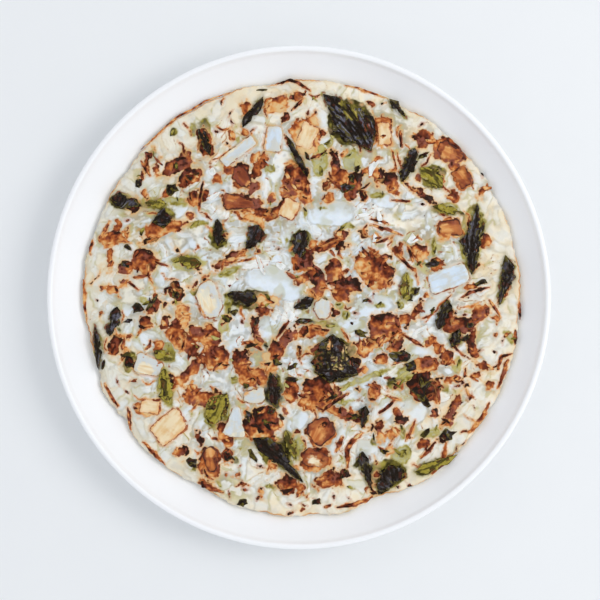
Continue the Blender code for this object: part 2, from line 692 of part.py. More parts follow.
def main():
    clear_scene()
    make_plate()
    pancake = make_pancake_body()

    counts = {}
    stem_feet, cutters, stem_objects = [], [], []
    for index, stem in enumerate(STEMS):
        counts[stem.finish] = counts.get(stem.finish, 0) + 1
        name = f"stem_{stem.finish}_{counts[stem.finish]}"
        obj, cutter, outline = make_stem(stem, name, SEED + index)
        stem_objects.append(obj)
        cutters.append(cutter)
        stem_feet.append(outline)

    leaf_feet = [leaf_outline(leaf, random.Random(LEAF_SEED + i)) for i, leaf in enumerate(LEAVES)]
    scraps = []
    for index, scrap in enumerate(SCRAPS):
        foot = scrap_outline(scrap, random.Random(SCRAP_SEED + index))
        if lies_clear(foot, stem_feet + leaf_feet, SCRAP_MARGIN):
            scraps.append(make_scrap(scrap, foot, f"scrap_{index}"))
    print(len(scraps), "of", len(SCRAPS), "scraps are clear of the stems and leaves")
    join_by_boolean(pancake, scraps, "UNION")
    join_by_boolean(pancake, cutters, "DIFFERENCE")

    trees = [tree_of(pancake)] + [tree_of(obj) for obj in stem_objects]
    counts = {}
    for index, leaf in enumerate(LEAVES):
        counts[leaf.finish] = counts.get(leaf.finish, 0) + 1
        name = f"leaf_{leaf.finish}_{counts[leaf.finish]}"
        trees.append(tree_of(make_leaf(leaf, name, LEAF_SEED + index, trees)))


main()
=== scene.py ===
"""Looks of the savoury vegetable pancake on its plate: a finely modelled batter top with fried crust,
chopped stems and wilted leaves, a glazed plate, and a pale table under soft light."""

from __future__ import annotations

import logging
import math
from collections.abc import Sequence
from dataclasses import dataclass, field
from enum import Enum

import bmesh
import bpy
import numpy as np
from bpy.types import Material, Node, NodeSocket, Object, World
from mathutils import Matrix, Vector
from mathutils.bvhtree import BVHTree

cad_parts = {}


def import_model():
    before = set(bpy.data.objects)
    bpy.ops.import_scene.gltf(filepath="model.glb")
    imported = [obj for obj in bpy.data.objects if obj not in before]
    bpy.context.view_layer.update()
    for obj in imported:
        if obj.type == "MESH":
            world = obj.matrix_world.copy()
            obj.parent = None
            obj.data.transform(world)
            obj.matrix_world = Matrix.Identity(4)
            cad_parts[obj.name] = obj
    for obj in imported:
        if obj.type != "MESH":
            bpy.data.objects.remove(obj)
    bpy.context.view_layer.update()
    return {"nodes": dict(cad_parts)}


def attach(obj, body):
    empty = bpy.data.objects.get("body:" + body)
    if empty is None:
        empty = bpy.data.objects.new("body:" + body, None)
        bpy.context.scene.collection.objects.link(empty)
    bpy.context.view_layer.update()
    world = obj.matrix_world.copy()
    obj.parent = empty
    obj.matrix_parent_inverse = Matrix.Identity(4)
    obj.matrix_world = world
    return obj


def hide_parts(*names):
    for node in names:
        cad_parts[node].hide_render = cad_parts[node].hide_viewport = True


MM = 0.001
OUTSIDE = -6.0  # how far inside a patch a point counts that no patch is near

# The top view: mm to a pixel, its side, and the middles of the plate and the pancake in pixels.
PLAN_SCALE = 0.52
PLAN_SIDE = 600
PLAN_CENTRE = (299.0, 297.5)
PANCAKE_AT = (302.0, 298.0)

log = logging.getLogger("pancake")
Array = np.ndarray
Dice = np.random.Generator
Point = tuple[float, float]


def plan(at: Point) -> Array:
    """The place in mm under a pixel of the top view."""
    return np.array([(at[0] - PLAN_CENTRE[0]) * PLAN_SCALE, (PLAN_CENTRE[1] - at[1]) * PLAN_SCALE])


def smooth(value: Array, low: float, high: float) -> Array:
    """An even S-shaped rise from 0 at low to 1 at high."""
    share = np.clip((value - low) / (high - low), 0.0, 1.0)
    return share * share * (3 - 2 * share)


def directions(angle: float) -> tuple[Array, Array]:
    """The unit steps along and across a way that is turned by an angle in radians."""
    return np.array([math.cos(angle), math.sin(angle)]), np.array([-math.sin(angle), math.cos(angle)])


class Grain:
    """Smooth seeded noise over flat points in mm."""

    count: int = 1024
    primes: tuple[int, int] = (7919, 104729)
    shift: float = 500.0
    strength: float = 1.6

    def __init__(self, seed: int) -> None:
        """Draws the gradients that the noise is made of."""
        angles = np.random.default_rng(seed).uniform(0, 2 * math.pi, self.count)
        self.gradients = np.stack([np.cos(angles), np.sin(angles)], axis=1)

    def at(self, points: Array, wave: float) -> Array:
        """Noise from about -1 to 1.

        Args:
            points: flat points in mm, one a row.
            wave: size of the noise's bumps in mm.

        Returns:
            One value for each point.
        """
        scaled = points / wave + self.shift
        cell = np.floor(scaled).astype(np.int64)
        inner = scaled - cell
        ease = inner * inner * inner * (inner * (inner * 6 - 15) + 10)
        corners = {}
        for dx in (0, 1):
            for dy in (0, 1):
                key = (cell[:, 0] + dx) * self.primes[0] + (cell[:, 1] + dy) * self.primes[1]
                offset = inner - np.array([dx, dy])
                corners[dx, dy] = (self.gradients[key % len(self.gradients)] * offset).sum(axis=1)
        low = corners[0, 0] + (corners[1, 0] - corners[0, 0]) * ease[:, 0]
        high = corners[0, 1] + (corners[1, 1] - corners[0, 1]) * ease[:, 0]
        return (low + (high - low) * ease[:, 1]) * self.strength


@dataclass(frozen=True)
class Tint:
    """A colour as it is seen, in parts of 255."""

    red: float
    green: float
    blue: float

    @property
    def linear(self) -> tuple[float, ...]:
        """The colour in linear light with full alpha."""
        shares = [part / 255 for part in (self.red, self.green, self.blue)]
        return (*(s / 12.92 if s <= 0.04045 else ((s + 0.055) / 1.055) ** 2.4 for s in shares), 1.0)


CREAM = Tint(243, 231, 200)
# ashen grey: painted shade on the left of the batter, the side away from the lamp
SHADE_ASHEN = Tint(226, 222, 203)
PALE_CREAM = Tint(249, 246, 236)
COOL_WHITE = Tint(228, 238, 246)
GREY_WHITE = Tint(205, 208, 199)
# beige: stripes and stains, and painted shade in the seams between stem cells
BEIGE = Tint(190, 172, 136)
# drab grey: random mottling, stains and halos, and painted shade in the seams between stem cells
DRAB = Tint(160, 155, 136)
STRAW = Tint(226, 192, 138)
GOLDEN = Tint(226, 162, 94)
ORANGE = Tint(190, 106, 50)
RUSSET = Tint(137, 64, 32)
MAROON = Tint(90, 34, 14)
ROSY_BROWN = Tint(144, 84, 68)
CHAR = Tint(42, 18, 5)
OLIVE = Tint(158, 144, 58)
PALE_OLIVE = Tint(192, 182, 116)
OLIVE_GREY = Tint(190, 190, 156)
DEEP_GREEN = Tint(76, 68, 22)
LEAF_BLACK = Tint(27, 16, 5)
# painted sheen: the grey-blue of the lamp's reflection on wet leaf crests, laid into the leaves' colour
PAINTED_SHEEN_SLATE = Tint(98, 96, 108)
# painted highlight: the pale glint of the lamp on wet leaf ridges
PAINTED_GLINT = Tint(168, 168, 172)


class Value:
    """A number that varies over a surface, used in plain arithmetic."""

    def __init__(self, sheet: NodeSheet, socket: NodeSocket) -> None:
        """Keeps the socket and the sheet of nodes that it is on."""
        self.sheet = sheet
        self.socket = socket

    def _with(self, operation: str, first: Number, second: Number) -> Value:
        """One Math node."""
        node = self.sheet.node("ShaderNodeMath", {"operation": operation}, {0: first, 1: second})
        return Value(self.sheet, node.outputs[0])

    def __add__(self, other: Number) -> Value:
        """Sum."""
        return self._with("ADD", self, other)

    __radd__ = __add__

    def __sub__(self, other: Number) -> Value:
        """Difference."""
        return self._with("SUBTRACT", self, other)

    def __rsub__(self, other: Number) -> Value:
        """Difference, other way round."""
        return self._with("SUBTRACT", other, self)

    def __mul__(self, other: Number) -> Value:
        """Product."""
        return self._with("MULTIPLY", self, other)

    __rmul__ = __mul__

    def larger(self, other: Number) -> Value:
        """The larger of two."""
        return self._with("MAXIMUM", self, other)

    def sine(self) -> Value:
        """Sine of an angle in radians."""
        return self._with("SINE", self, 0.0)

    def step(self, low: float, high: float) -> Value:
        """An S-shaped rise from 0 to 1, or a fall from 1 to 0.

        Args:
            low: where the result is 0.
            high: where the result is 1; it falls where this is the smaller.

        Returns:
            The result.
        """
        settings = {"interpolation_type": "SMOOTHSTEP", "clamp": True}
        ends = sorted(((low, 0.0), (high, 1.0)))
        inputs = {"Value": self, "From Min": ends[0][0], "From Max": ends[1][0]}
        inputs |= {"To Min": ends[0][1], "To Max": ends[1][1]}
        return Value(self.sheet, self.sheet.node("ShaderNodeMapRange", settings, inputs).outputs[0])


Number = Value | float
Stops = tuple[tuple[float, Tint], ...]


class Paint:
    """A colour that varies over a surface."""

    def __init__(self, sheet: NodeSheet, socket: NodeSocket) -> None:
        """Keeps the socket and the sheet of nodes that it is on."""
        self.sheet = sheet
        self.socket = socket

    def lay(self, share: Number, other: Paint | Tint) -> Paint:
        """Lays another colour over this one.

        Args:
            share: how much of the other shows, from 0 to 1.
            other: the colour on top.

        Returns:
            This colour, with the other over it from now on.
        """
        self.socket = self.sheet.mixed(share, self, other).socket
        return self


class NodeSheet:
    """The nodes of one material, or of the room."""

    def __init__(self, owner: Material | World) -> None:
        """Keeps the nodes and links of what they belong to.

        Args:
            owner: the material or the room's world.
        """
        owner.use_nodes = True
        self.owner = owner
        self.nodes, self.links = owner.node_tree.nodes, owner.node_tree.links

    def node(self, kind: str, settings: dict[str, object], inputs: dict[int | str, object]) -> Node:
        """Adds a node.

        Args:
            kind: the node's type.
            settings: what is set on the node itself, before its sockets, with a ramp's stops in order.
            inputs: values or links by socket.

        Returns:
            The node.
        """
        made = self.nodes.new(kind)
        for key, value in settings.items():
            if key != "stops":
                setattr(made, key, value)
                continue
            row = made.color_ramp.elements
            row[0].position, row[1].position = value[0][0], value[-1][0]
            for place, _ in value[1:-1]:
                row.new(place)
            for stop, (_, tint) in zip(row, value, strict=True):
                stop.color = tint.linear
        for key, value in inputs.items():
            self.feed(made.inputs[key], value)
        return made

    def feed(self, socket: NodeSocket, value: object) -> None:
        """Links a socket or sets its value.

        Args:
            socket: the socket.
            value: a number, a colour, or what comes out of another node.
        """
        if isinstance(value, (Value, Paint)):
            value = value.socket
        if isinstance(value, NodeSocket):
            self.links.new(value, socket)
        else:
            socket.default_value = value.linear if isinstance(value, Tint) else value

    def field(self, name: str) -> Value:
        """A number kept at the mesh's points."""
        made = self.node("ShaderNodeAttribute", {"attribute_name": name, "attribute_type": "GEOMETRY"}, {})
        return Value(self, made.outputs["Fac"])

    def noise(self, wave: float, detail: float = 2.0, roughness: float = 0.5, lift: float = 0.0) -> Value:
        """Smooth noise, evened out to run from 0 to 1.

        Args:
            wave: size of its bumps in mm.
            detail: number of finer layers.
            roughness: strength of the finer layers.
            lift: shifts the noise, so that two of one size differ.

        Returns:
            The noise.
        """
        spot = self.node("ShaderNodeTexCoord", {}, {}).outputs["Object"]
        inputs = {"Vector": spot, "Location": (lift, lift * 0.7, lift * 1.3)}
        moved = self.node("ShaderNodeMapping", {}, inputs).outputs[0]
        inputs = {"Vector": moved, "Scale": 1 / (wave * MM), "Detail": detail, "Roughness": roughness}
        made = self.node("ShaderNodeTexNoise", {"noise_dimensions": "3D"}, inputs)
        return Value(self, made.outputs[0]).step(0.25, 0.75)

    def drawn_out(self, wave: float, detail: float = 2.0) -> Value:
        """Noise in a piece's own across and along fields, from 0 to 1.

        Args:
            wave: size of its bumps across the piece in mm.
            detail: number of finer layers.

        Returns:
            The noise.
        """
        across, along, lot = self.field("across"), self.field("along"), self.field("lot")
        spot = self.node("ShaderNodeCombineXYZ", {}, {0: across, 1: along, 2: lot}).outputs[0]
        inputs = {"Vector": spot, "Scale": 1 / wave, "Detail": detail, "Roughness": 0.55}
        made = self.node("ShaderNodeTexNoise", {"noise_dimensions": "3D"}, inputs)
        return Value(self, made.outputs[0]).step(0.25, 0.75)

    def mixed(self, share: Number, first: Paint | Tint, second: Paint | Tint) -> Paint:
        """Two colours mixed by a share."""
        settings = {"data_type": "RGBA", "blend_type": "MIX", "clamp_factor": True}
        return Paint(self, self.node("ShaderNodeMix", settings, {0: share, 6: first, 7: second}).outputs[2])

    def scale(self, at: Value, stops: Stops) -> Paint:
        """A row of colours read off by a number from 0 to 1."""
        return Paint(self, self.node("ShaderNodeValToRGB", {"stops": stops}, {0: at}).outputs[0])

    def relief(self, height: Value, depth: float) -> None:
        """Fine relief of a depth in mm, as a bump that feeds the shader's normal."""
        made = self.node("ShaderNodeBump", {}, {"Strength": 1.0, "Distance": depth * MM, "Height": height})
        self.settle(Normal=made.outputs[0])

    def settle(self, **values: object) -> None:
        """Feeds the shader's sockets, named with underscores for spaces."""
        for key, value in values.items():
            self.feed(self.nodes["Principled BSDF"].inputs[key.replace("_", " ")], value)


FRIED = ((0.0, STRAW), (0.2, GOLDEN), (0.4, ORANGE), (0.6, RUSSET), (0.8, MAROON), (1.0, CHAR))


@dataclass(frozen=True)
class BatterFinish:
    """The batter top: cream, cooler stem cells, and fried crust with golden halos."""

    gloss: float = 0.44

    def dress(self, obj: Object) -> None:
        """Puts the finish on the batter.

        Args:
            obj: a mesh with the batter's fields.
        """
        sheet = NodeSheet(bpy.data.materials.new("batter"))
        wide = sheet.noise(14.0, 1.0, lift=6.2)
        coarse = sheet.noise(6.0, 2.0)
        medium = sheet.noise(3.0, 1.0, lift=3.1)
        small = sheet.noise(1.3, 1.0, lift=8.4)
        fine = sheet.noise(0.5, 2.0, lift=1.7)
        ragged = (medium - 0.5) * 0.9 + (small - 0.5) * 0.35
        soft = (medium - 0.5) * 0.25

        warm = sheet.field("warm")
        paint = sheet.mixed((coarse * 0.5 + wide * 0.25 + warm * 0.35).step(0.25, 0.95), PALE_CREAM, CREAM)
        paint.lay(sheet.field("cool") * (0.9 - medium * 0.4), COOL_WHITE)
        paint.lay((wide * 0.6 + warm * 0.4).step(0.5, 1.1) * 0.3, STRAW)
        # Painted shade: the batter greys towards the left, the side away from the lamp, and takes less cream
        # there.
        pallid = sheet.field("pallid")
        paint.lay(pallid * 0.55, SHADE_ASHEN)
        paint.lay((1 - coarse * 0.7 - medium * 0.3).step(0.45, 0.85) * (0.6 - warm * 0.42), DRAB)

        stem = sheet.field("stem_in") + soft
        hue = sheet.field("stem_hue")
        # Painted shade: stem cells go from cool white on one side to grey white on the other across their
        # width, mixed with random tone.
        side_shade_and_browning = sheet.field("stem_cross") * 0.16 + coarse * 0.7
        stem_paint = sheet.mixed(side_shade_and_browning.step(0.0, 1.0), COOL_WHITE, GREY_WHITE)
        stem_paint.lay(hue.step(0.5, 0.9) * 0.7, PALE_CREAM)
        stem_paint.lay(warm * (0.3 - pallid * 0.2), CREAM)
        stripes = (sheet.field("stem_cross") * 3.2 + coarse * 9.0 + hue * 5.0).sine() * hue.step(0.2, 0.5)
        stem_paint.lay(stripes.step(0.2, 1.0) * coarse * 0.4, BEIGE)
        stem_paint.lay(stripes.step(-0.2, -1.0) * 0.4, PALE_CREAM)
        green_part = sheet.noise(9.0, 1.0, lift=12.5)
        stem_paint.lay(green_part.step(0.66, 0.9) * 0.6, OLIVE_GREY)
        calm = sheet.field("calm")
        paint.lay(stem.step(-0.25, 0.4) * (0.85 - calm * 0.45), stem_paint)
        border = stem.step(-0.7, -0.05) * stem.step(0.7, 0.05)
        gate = medium * 0.5 + hue * 0.5
        paint.lay(border * gate.step(0.4, 0.75) * (0.5 - calm * 0.25), STRAW)
        # Painted shade: grey-beige in the seams between stem cells, weaker near the rim and on cool parts.
        seam = stem.step(-1.2, -0.05) * stem.step(1.0, 0.05) * (1 - calm * 0.55)
        seam = seam * (1 - sheet.field("cool") * 0.4)
        painted_seam_shade = sheet.mixed(warm * 0.5, DRAB, BEIGE)
        paint.lay(seam * ((1 - gate).step(0.4, 0.75) * 0.5 + 0.2), painted_seam_shade)
        paint.lay(border * green_part.step(0.62, 0.8) * 0.5, PALE_OLIVE)
        stained = sheet.mixed(coarse, DRAB, sheet.mixed(wide.step(0.4, 0.6), PALE_OLIVE, BEIGE))
        tanned = sheet.field("tanned") * (coarse * 0.5 + medium * 0.5).step(0.3, 0.6)
        paint.lay(tanned * 0.9, stained)
        line = stem.step(-0.3, 0.0) * stem.step(0.32, 0.04)
        line_paint = sheet.mixed(small, ORANGE, RUSSET).lay(green_part.step(0.62, 0.75), OLIVE)
        paint.lay(line * (small * 0.3 + gate * 0.7 - calm * 0.2).step(0.56, 0.74), line_paint)

        by_leaf = sheet.field("by_leaf") + ragged * 0.9
        tinged = by_leaf.step(-2.6, -0.2) * (wide * 0.5 + coarse * 0.3)
        paint.lay(tinged, sheet.mixed(coarse, PALE_OLIVE, DRAB))
        soaked = sheet.mixed(coarse.step(0.35, 0.65), OLIVE, RUSSET)
        paint.lay(by_leaf.step(-1.0, -0.2) * (medium * 0.6 + wide * 0.4).step(0.35, 0.65) * 0.85, soaked)
        by_stem = sheet.field("by_stem") + ragged * 0.5
        paint.lay(by_stem.step(-1.8, -0.1) * (coarse * 0.5 + warm * 0.3), GOLDEN)
        seared = (medium * 0.4 + wide * 0.6).step(0.45, 0.6)
        paint.lay(by_stem.step(-0.7, -0.3) * seared * 0.9, sheet.mixed(small, ORANGE, RUSSET))

        herb = sheet.field("herb_in") + ragged * 0.7
        herb_tone = sheet.field("herb_tone") + (medium - 0.5) * 0.4 + (coarse - 0.5) * 0.4
        greens = ((0.0, PALE_OLIVE), (0.35, OLIVE), (0.7, DEEP_GREEN), (1.0, LEAF_BLACK))
        herb_paint = sheet.scale(herb_tone, greens)
        paint.lay(herb.step(-1.1, 0.2) * 0.5, PALE_OLIVE)
        paint.lay(herb.step(-0.4, 0.4), herb_paint)
        clear = herb.step(0.5, 1.3) * herb_tone.step(0.5, 0.3) * medium.step(0.2, 0.6)
        paint.lay(clear * 0.75, OLIVE_GREY)

        rim = sheet.field("rim_in") + ragged * 0.6
        paint.lay(rim.step(2.2, 0.4) * coarse * 0.25, STRAW)
        paint.lay(rim.step(1.0, 0.3) * wide.step(0.45, 0.8) * 0.8, GOLDEN)
        scorched = (wide * 0.6 + medium * 0.4).step(0.56, 0.75)
        paint.lay(rim.step(0.6, 0.1) * scorched * 0.8, sheet.mixed(small, ORANGE, RUSSET))

        crust = sheet.field("crust_in") + ragged * 1.4 + (coarse - 0.5) * 1.0 + sheet.field("tanned") * 0.9
        tone = (sheet.field("crust_tone") - 0.5) * 1.35 + 0.54
        halo = sheet.mixed((wide + warm * 0.2).step(0.35, 0.6), DRAB, STRAW)
        paint.lay(crust.step(-2.8, -0.2) * (0.3 + coarse * 0.4), halo)
        paint.lay(crust.step(-0.9, -0.1) * 0.7, GOLDEN)
        outline = crust.step(0.7, 0.1) * (0.4 + coarse * 0.7)
        # Browning that changes across a crust patch.
        side_shade_and_browning = sheet.field("crust_cross") * 0.05
        mottle = (wide - 0.5) * 0.35 + (1 - coarse - 0.5) * 0.6 + (medium - 0.5) * 0.5 + (small - 0.5) * 0.12
        browning = (tone + mottle + outline * 0.25 + side_shade_and_browning) * 0.86 + warm * 0.06
        rosy = (wide * 0.5 + (1 - coarse) * 0.5).step(0.5, 0.8)
        rosy = rosy * browning.step(0.2, 0.45) * browning.step(0.85, 0.65)
        fried = sheet.scale(browning, FRIED).lay(rosy * 0.85, ROSY_BROWN)
        paint.lay(crust.step(-0.25, 0.15), fried)

        streak = sheet.field("streak_in") + (small - 0.5) * 0.4
        streak_tone = sheet.field("streak_tone") + (medium - 0.5) * 0.5
        paint.lay(streak.step(-1.1, 0.0) * 0.6, GOLDEN)
        paint.lay(streak.step(-0.15, 0.15), sheet.scale(streak_tone, FRIED))

        char = sheet.field("char_in") + (small - 0.5) * 0.4
        paint.lay(char.step(-0.9, 0.0) * 0.5, ORANGE)
        paint.lay(char.step(-0.12, 0.12), sheet.mixed(coarse.step(0.4, 0.6), MAROON, CHAR))

        wet = crust.step(-0.2, 0.3).larger(herb.step(-0.1, 0.2))
        sheet.settle(
            Base_Color=paint,
            Roughness=self.gloss + fine * 0.12 - wet * 0.1,
            Specular_IOR_Level=0.16,
            Subsurface_Weight=0.06,
            Subsurface_Scale=1.2 * MM,
            Subsurface_Radius=(1.0, 0.7, 0.45),
        )
        sheet.relief(fine * 0.08 + small * (0.08 + wet * 0.5), 0.15)
        obj.data.materials.append(sheet.owner)


@dataclass(frozen=True)
class StemFinish:
    """Cut stem: soft shades along its length and a rim that has caught the heat."""

    name: str
    heart: Tint
    other_heart: Tint
    fibre: Tint
    rim: Tint
    rim_width: float
    rim_share: float
    blotch: Tint
    blotches: float
    row: Stops
    gloss: float = 0.36

    def dress(self, obj: Object) -> None:
        """Puts the finish on stems.

        Args:
            obj: a mesh with edge, shade, patch, across, along and lot fields.
        """
        sheet = NodeSheet(bpy.data.materials.new(self.name))
        coarse = sheet.noise(5.0, 2.0)
        medium = sheet.noise(1.8, 2.0, lift=2.3)
        fine = sheet.noise(0.5, 2.0, lift=5.1)
        fibres = sheet.drawn_out(2.2, 1.0)
        edge = sheet.field("edge_in") + (medium - 0.5) * 0.9
        shade = coarse * 0.5 + fibres * 0.5
        heart = sheet.mixed(sheet.field("shade"), self.other_heart, self.heart)
        paint = sheet.mixed(shade.step(0.3, 0.75), heart, self.fibre)
        blot = (coarse * 0.75 + medium * 0.25).step(0.95 - self.blotches, 1.25 - self.blotches)
        paint.lay(blot * (0.7 - sheet.field("shade") * 0.5), self.blotch)
        paint.lay(edge.step(self.rim_width * 4.0, self.rim_width * 0.5) * (0.3 + coarse * 0.6), self.blotch)
        patch = sheet.field("patch_in") + (medium - 0.5) * 1.4
        patch_tone = sheet.field("patch_tone") + (fibres - 0.5) * 0.3
        paint.lay(patch.step(-0.7, 0.9), sheet.scale(patch_tone, self.row))
        caught = (coarse * 0.7 + medium * 0.3).step(0.75 - self.rim_share * 0.6, 0.85 - self.rim_share * 0.6)
        paint.lay(edge.step(self.rim_width, self.rim_width * 0.4) * caught, self.rim)
        sheet.settle(
            Base_Color=paint,
            Roughness=self.gloss + medium * 0.12,
            Specular_IOR_Level=0.3,
            Subsurface_Weight=0.12,
            Subsurface_Scale=1.2 * MM,
            Subsurface_Radius=(1.0, 0.8, 0.6),
        )
        sheet.relief(fibres * 0.3 + medium * 0.2 + fine * 0.08, 0.12)
        obj.data.materials.append(sheet.owner)


GREENS = ((0.0, PALE_OLIVE), (0.3, OLIVE), (0.6, DEEP_GREEN), (1.0, LEAF_BLACK))
LEAF_PATCHES = ((0.0, GOLDEN), (0.25, STRAW), (0.5, OLIVE), (0.75, DEEP_GREEN), (1.0, RUSSET))


@dataclass(frozen=True)
class LeafFinish:
    """Wilted wet leaf: nearly black in its creases by painted shade, with a painted slate sheen on its
    crests, green or brown where it is thin.
    """

    name: str
    deep: Tint
    painted_sheen: Tint
    bright: Tint
    brown: Tint
    thin: float
    fringe: Tint = Tint(112, 98, 34)
    # Colour of the painted shade in creases and vein hollows.
    painted_crease_shade: Tint = LEAF_BLACK
    gloss: float = 0.23

    def dress(self, obj: Object) -> None:
        """Puts the finish on leaves.

        Args:
            obj: a mesh with edge, fold, painted sheen share, patch, across, along and lot fields.
        """
        sheet = NodeSheet(bpy.data.materials.new(self.name))
        coarse = sheet.noise(4.5, 1.0)
        medium = sheet.noise(1.8, 2.0, lift=4.2)
        fine = sheet.noise(0.45, 2.0, lift=7.7)
        folds = sheet.drawn_out(3.4, 1.0)
        veins = sheet.drawn_out(1.1, 1.5)
        edge = sheet.field("edge_in") + (medium - 0.5) * 1.4
        crease = sheet.field("fold")
        sheen_share = sheet.field("slate")
        crumple = folds * 0.45 + medium * 0.25 + veins * 0.12 + coarse * 0.25
        # Painted sheen: the crests of the crumple and fold noise, away from the creases, take a slate sheen
        # that stands for the lamp's reflection.
        sheen_crest = (crumple - crease * 0.35 + sheen_share * 0.08).step(0.4, 0.75)
        # Painted shade mixed with random tone: black where the fold relief is low, the leaf's own deep colour
        # where it is high.
        paint = sheet.mixed((folds * 0.5 + medium * 0.5).step(0.35, 0.75), LEAF_BLACK, self.deep)
        # The painted slate sheen on the crests.
        paint.lay(sheen_share * sheen_crest, self.painted_sheen)
        green = (coarse * 0.7 + folds * 0.3).step(0.9 - self.thin, 1.0 - self.thin)
        paint.lay(green * 0.9, self.bright)
        paint.lay((1 - coarse * 0.8 - medium * 0.2).step(0.7, 0.8) * 0.8, self.brown)
        patch = sheet.field("patch_in") + (medium - 0.5) * 1.6
        patch_tone = sheet.field("patch_tone") + (folds - 0.5) * 0.5
        paint.lay(patch.step(-0.4, 0.4), sheet.scale(patch_tone, LEAF_PATCHES))
        # Painted shade along the low lines of the vein relief.
        paint.lay(veins.step(0.34, 0.2) * 0.4, self.painted_crease_shade)
        paint.lay(edge.step(0.9, 0.3) * medium.step(0.3, 0.6) * 0.85, self.fringe)
        # Painted shade: the creases turn nearly black.
        paint.lay(crease.step(0.25, 0.7) * 0.9, self.painted_crease_shade)
        # Painted highlights: pale thin glint lines on the vein ridges of the crests.
        paint.lay(veins.step(0.8, 0.95) * sheen_crest * (sheen_share * 0.4 + 0.1), PAINTED_GLINT)
        sheet.settle(
            Base_Color=paint,
            Roughness=self.gloss + fine * 0.12,
            Specular_IOR_Level=0.16,
        )
        sheet.relief(folds * 0.6 + veins * 0.35 + fine * 0.1, 0.3)
        obj.data.materials.append(sheet.owner)


@dataclass(frozen=True)
class CrispFinish:
    """Fried scraps, from golden to charred by their own tone, darkest round their edges."""

    name: str
    stops: Stops = FRIED
    gloss: float = 0.36
    rim: float = 0.12
    rosy: bool = True

    def dress(self, obj: Object) -> None:
        """Puts the finish on scraps.

        Args:
            obj: a mesh with tone and edge fields.
        """
        sheet = NodeSheet(bpy.data.materials.new(self.name))
        wide = sheet.noise(4.2, 1.0, lift=5.5)
        medium = sheet.noise(2.4, 1.0)
        small = sheet.noise(0.9, 1.0, lift=9.1)
        fine = sheet.noise(0.4, 2.0, lift=3.3)
        tone = sheet.field("tone") + (wide - 0.5) * 0.75 + (medium - 0.5) * 0.35 + (small - 0.5) * 0.12
        tone = tone + sheet.field("edge_in").step(0.6, 0.1) * self.rim * (0.3 + wide)
        paint = sheet.scale(tone, self.stops)
        if self.rosy:
            redder = (1 - wide).step(0.4, 0.8) * tone.step(0.3, 0.5) * tone.step(0.9, 0.7) * 0.6
            paint.lay(redder, ROSY_BROWN)
        sheet.settle(
            Base_Color=paint,
            Roughness=self.gloss + fine * 0.15,
            Specular_IOR_Level=0.14,
        )
        sheet.relief(medium * 0.5 + small * 0.2 + fine * 0.08, 0.2)
        obj.data.materials.append(sheet.owner)


@dataclass(frozen=True)
class GlazeFinish:
    """White glaze over fired clay."""

    tint: Tint = Tint(250, 251, 252)
    other_tint: Tint = Tint(248, 249, 250)
    gloss: float = 0.34

    def dress(self, obj: Object) -> None:
        """Puts the glaze on the plate.

        Args:
            obj: the plate's mesh.
        """
        sheet = NodeSheet(bpy.data.materials.new("glaze"))
        wide = sheet.noise(40.0, 1.0)
        fine = sheet.noise(3.0, 2.0, lift=1.1)
        sheet.settle(
            Base_Color=sheet.mixed(wide * 0.5 + fine * 0.1, self.tint, self.other_tint),
            Roughness=self.gloss + fine * 0.03,
            Specular_IOR_Level=0.4,
        )
        sheet.relief(wide, 0.05)
        obj.data.materials.append(sheet.owner)


@dataclass(frozen=True)
class TableFinish:
    """A matt pale table top."""

    tint: Tint = Tint(240, 242, 242)
    other_tint: Tint = Tint(237, 239, 240)
    gloss: float = 0.7

    def dress(self, obj: Object) -> None:
        """Puts the finish on the table.

        Args:
            obj: the table's mesh.
        """
        sheet = NodeSheet(bpy.data.materials.new("table"))
        fine = sheet.noise(30.0, 2.0)
        paint = sheet.mixed(fine * 0.3, self.tint, self.other_tint)
        sheet.settle(Base_Color=paint, Roughness=self.gloss + fine * 0.05)
        obj.data.materials.append(sheet.owner)


@dataclass(frozen=True)
class Dab:
    """A patch on the pancake: its middle, length and width in the top view's pixels, turn and tone."""

    at: Point
    length: float
    width: float
    turn: float = 0.0
    tone: float = 0.55
    bend: float = 0.0


@dataclass(frozen=True)
class Stroke:
    """A thin line on the pancake: its points and width in the top view's pixels, and its tone."""

    points: tuple[Point, ...]
    width: float = 2.4
    tone: float = 0.6


def dabs(*rows: tuple[int, ...]) -> tuple[Dab, ...]:
    """Patches from rows of whole numbers.

    Args:
        rows: for each patch its place, length, width and turn, then perhaps its tone and bend in hundredths.

    Returns:
        The patches.
    """
    return tuple(Dab(row[:2], *row[2:5], *(part / 100 for part in row[5:])) for row in rows)


def strokes(*rows: tuple[float, ...]) -> tuple[Stroke, ...]:
    """Lines from rows of numbers.

    Args:
        rows: for each line its width, its tone in hundredths, and then the places that it runs through.

    Returns:
        The lines.
    """
    return tuple(Stroke(tuple(zip(row[2::2], row[3::2], strict=True)), row[0], row[1] / 100) for row in rows)


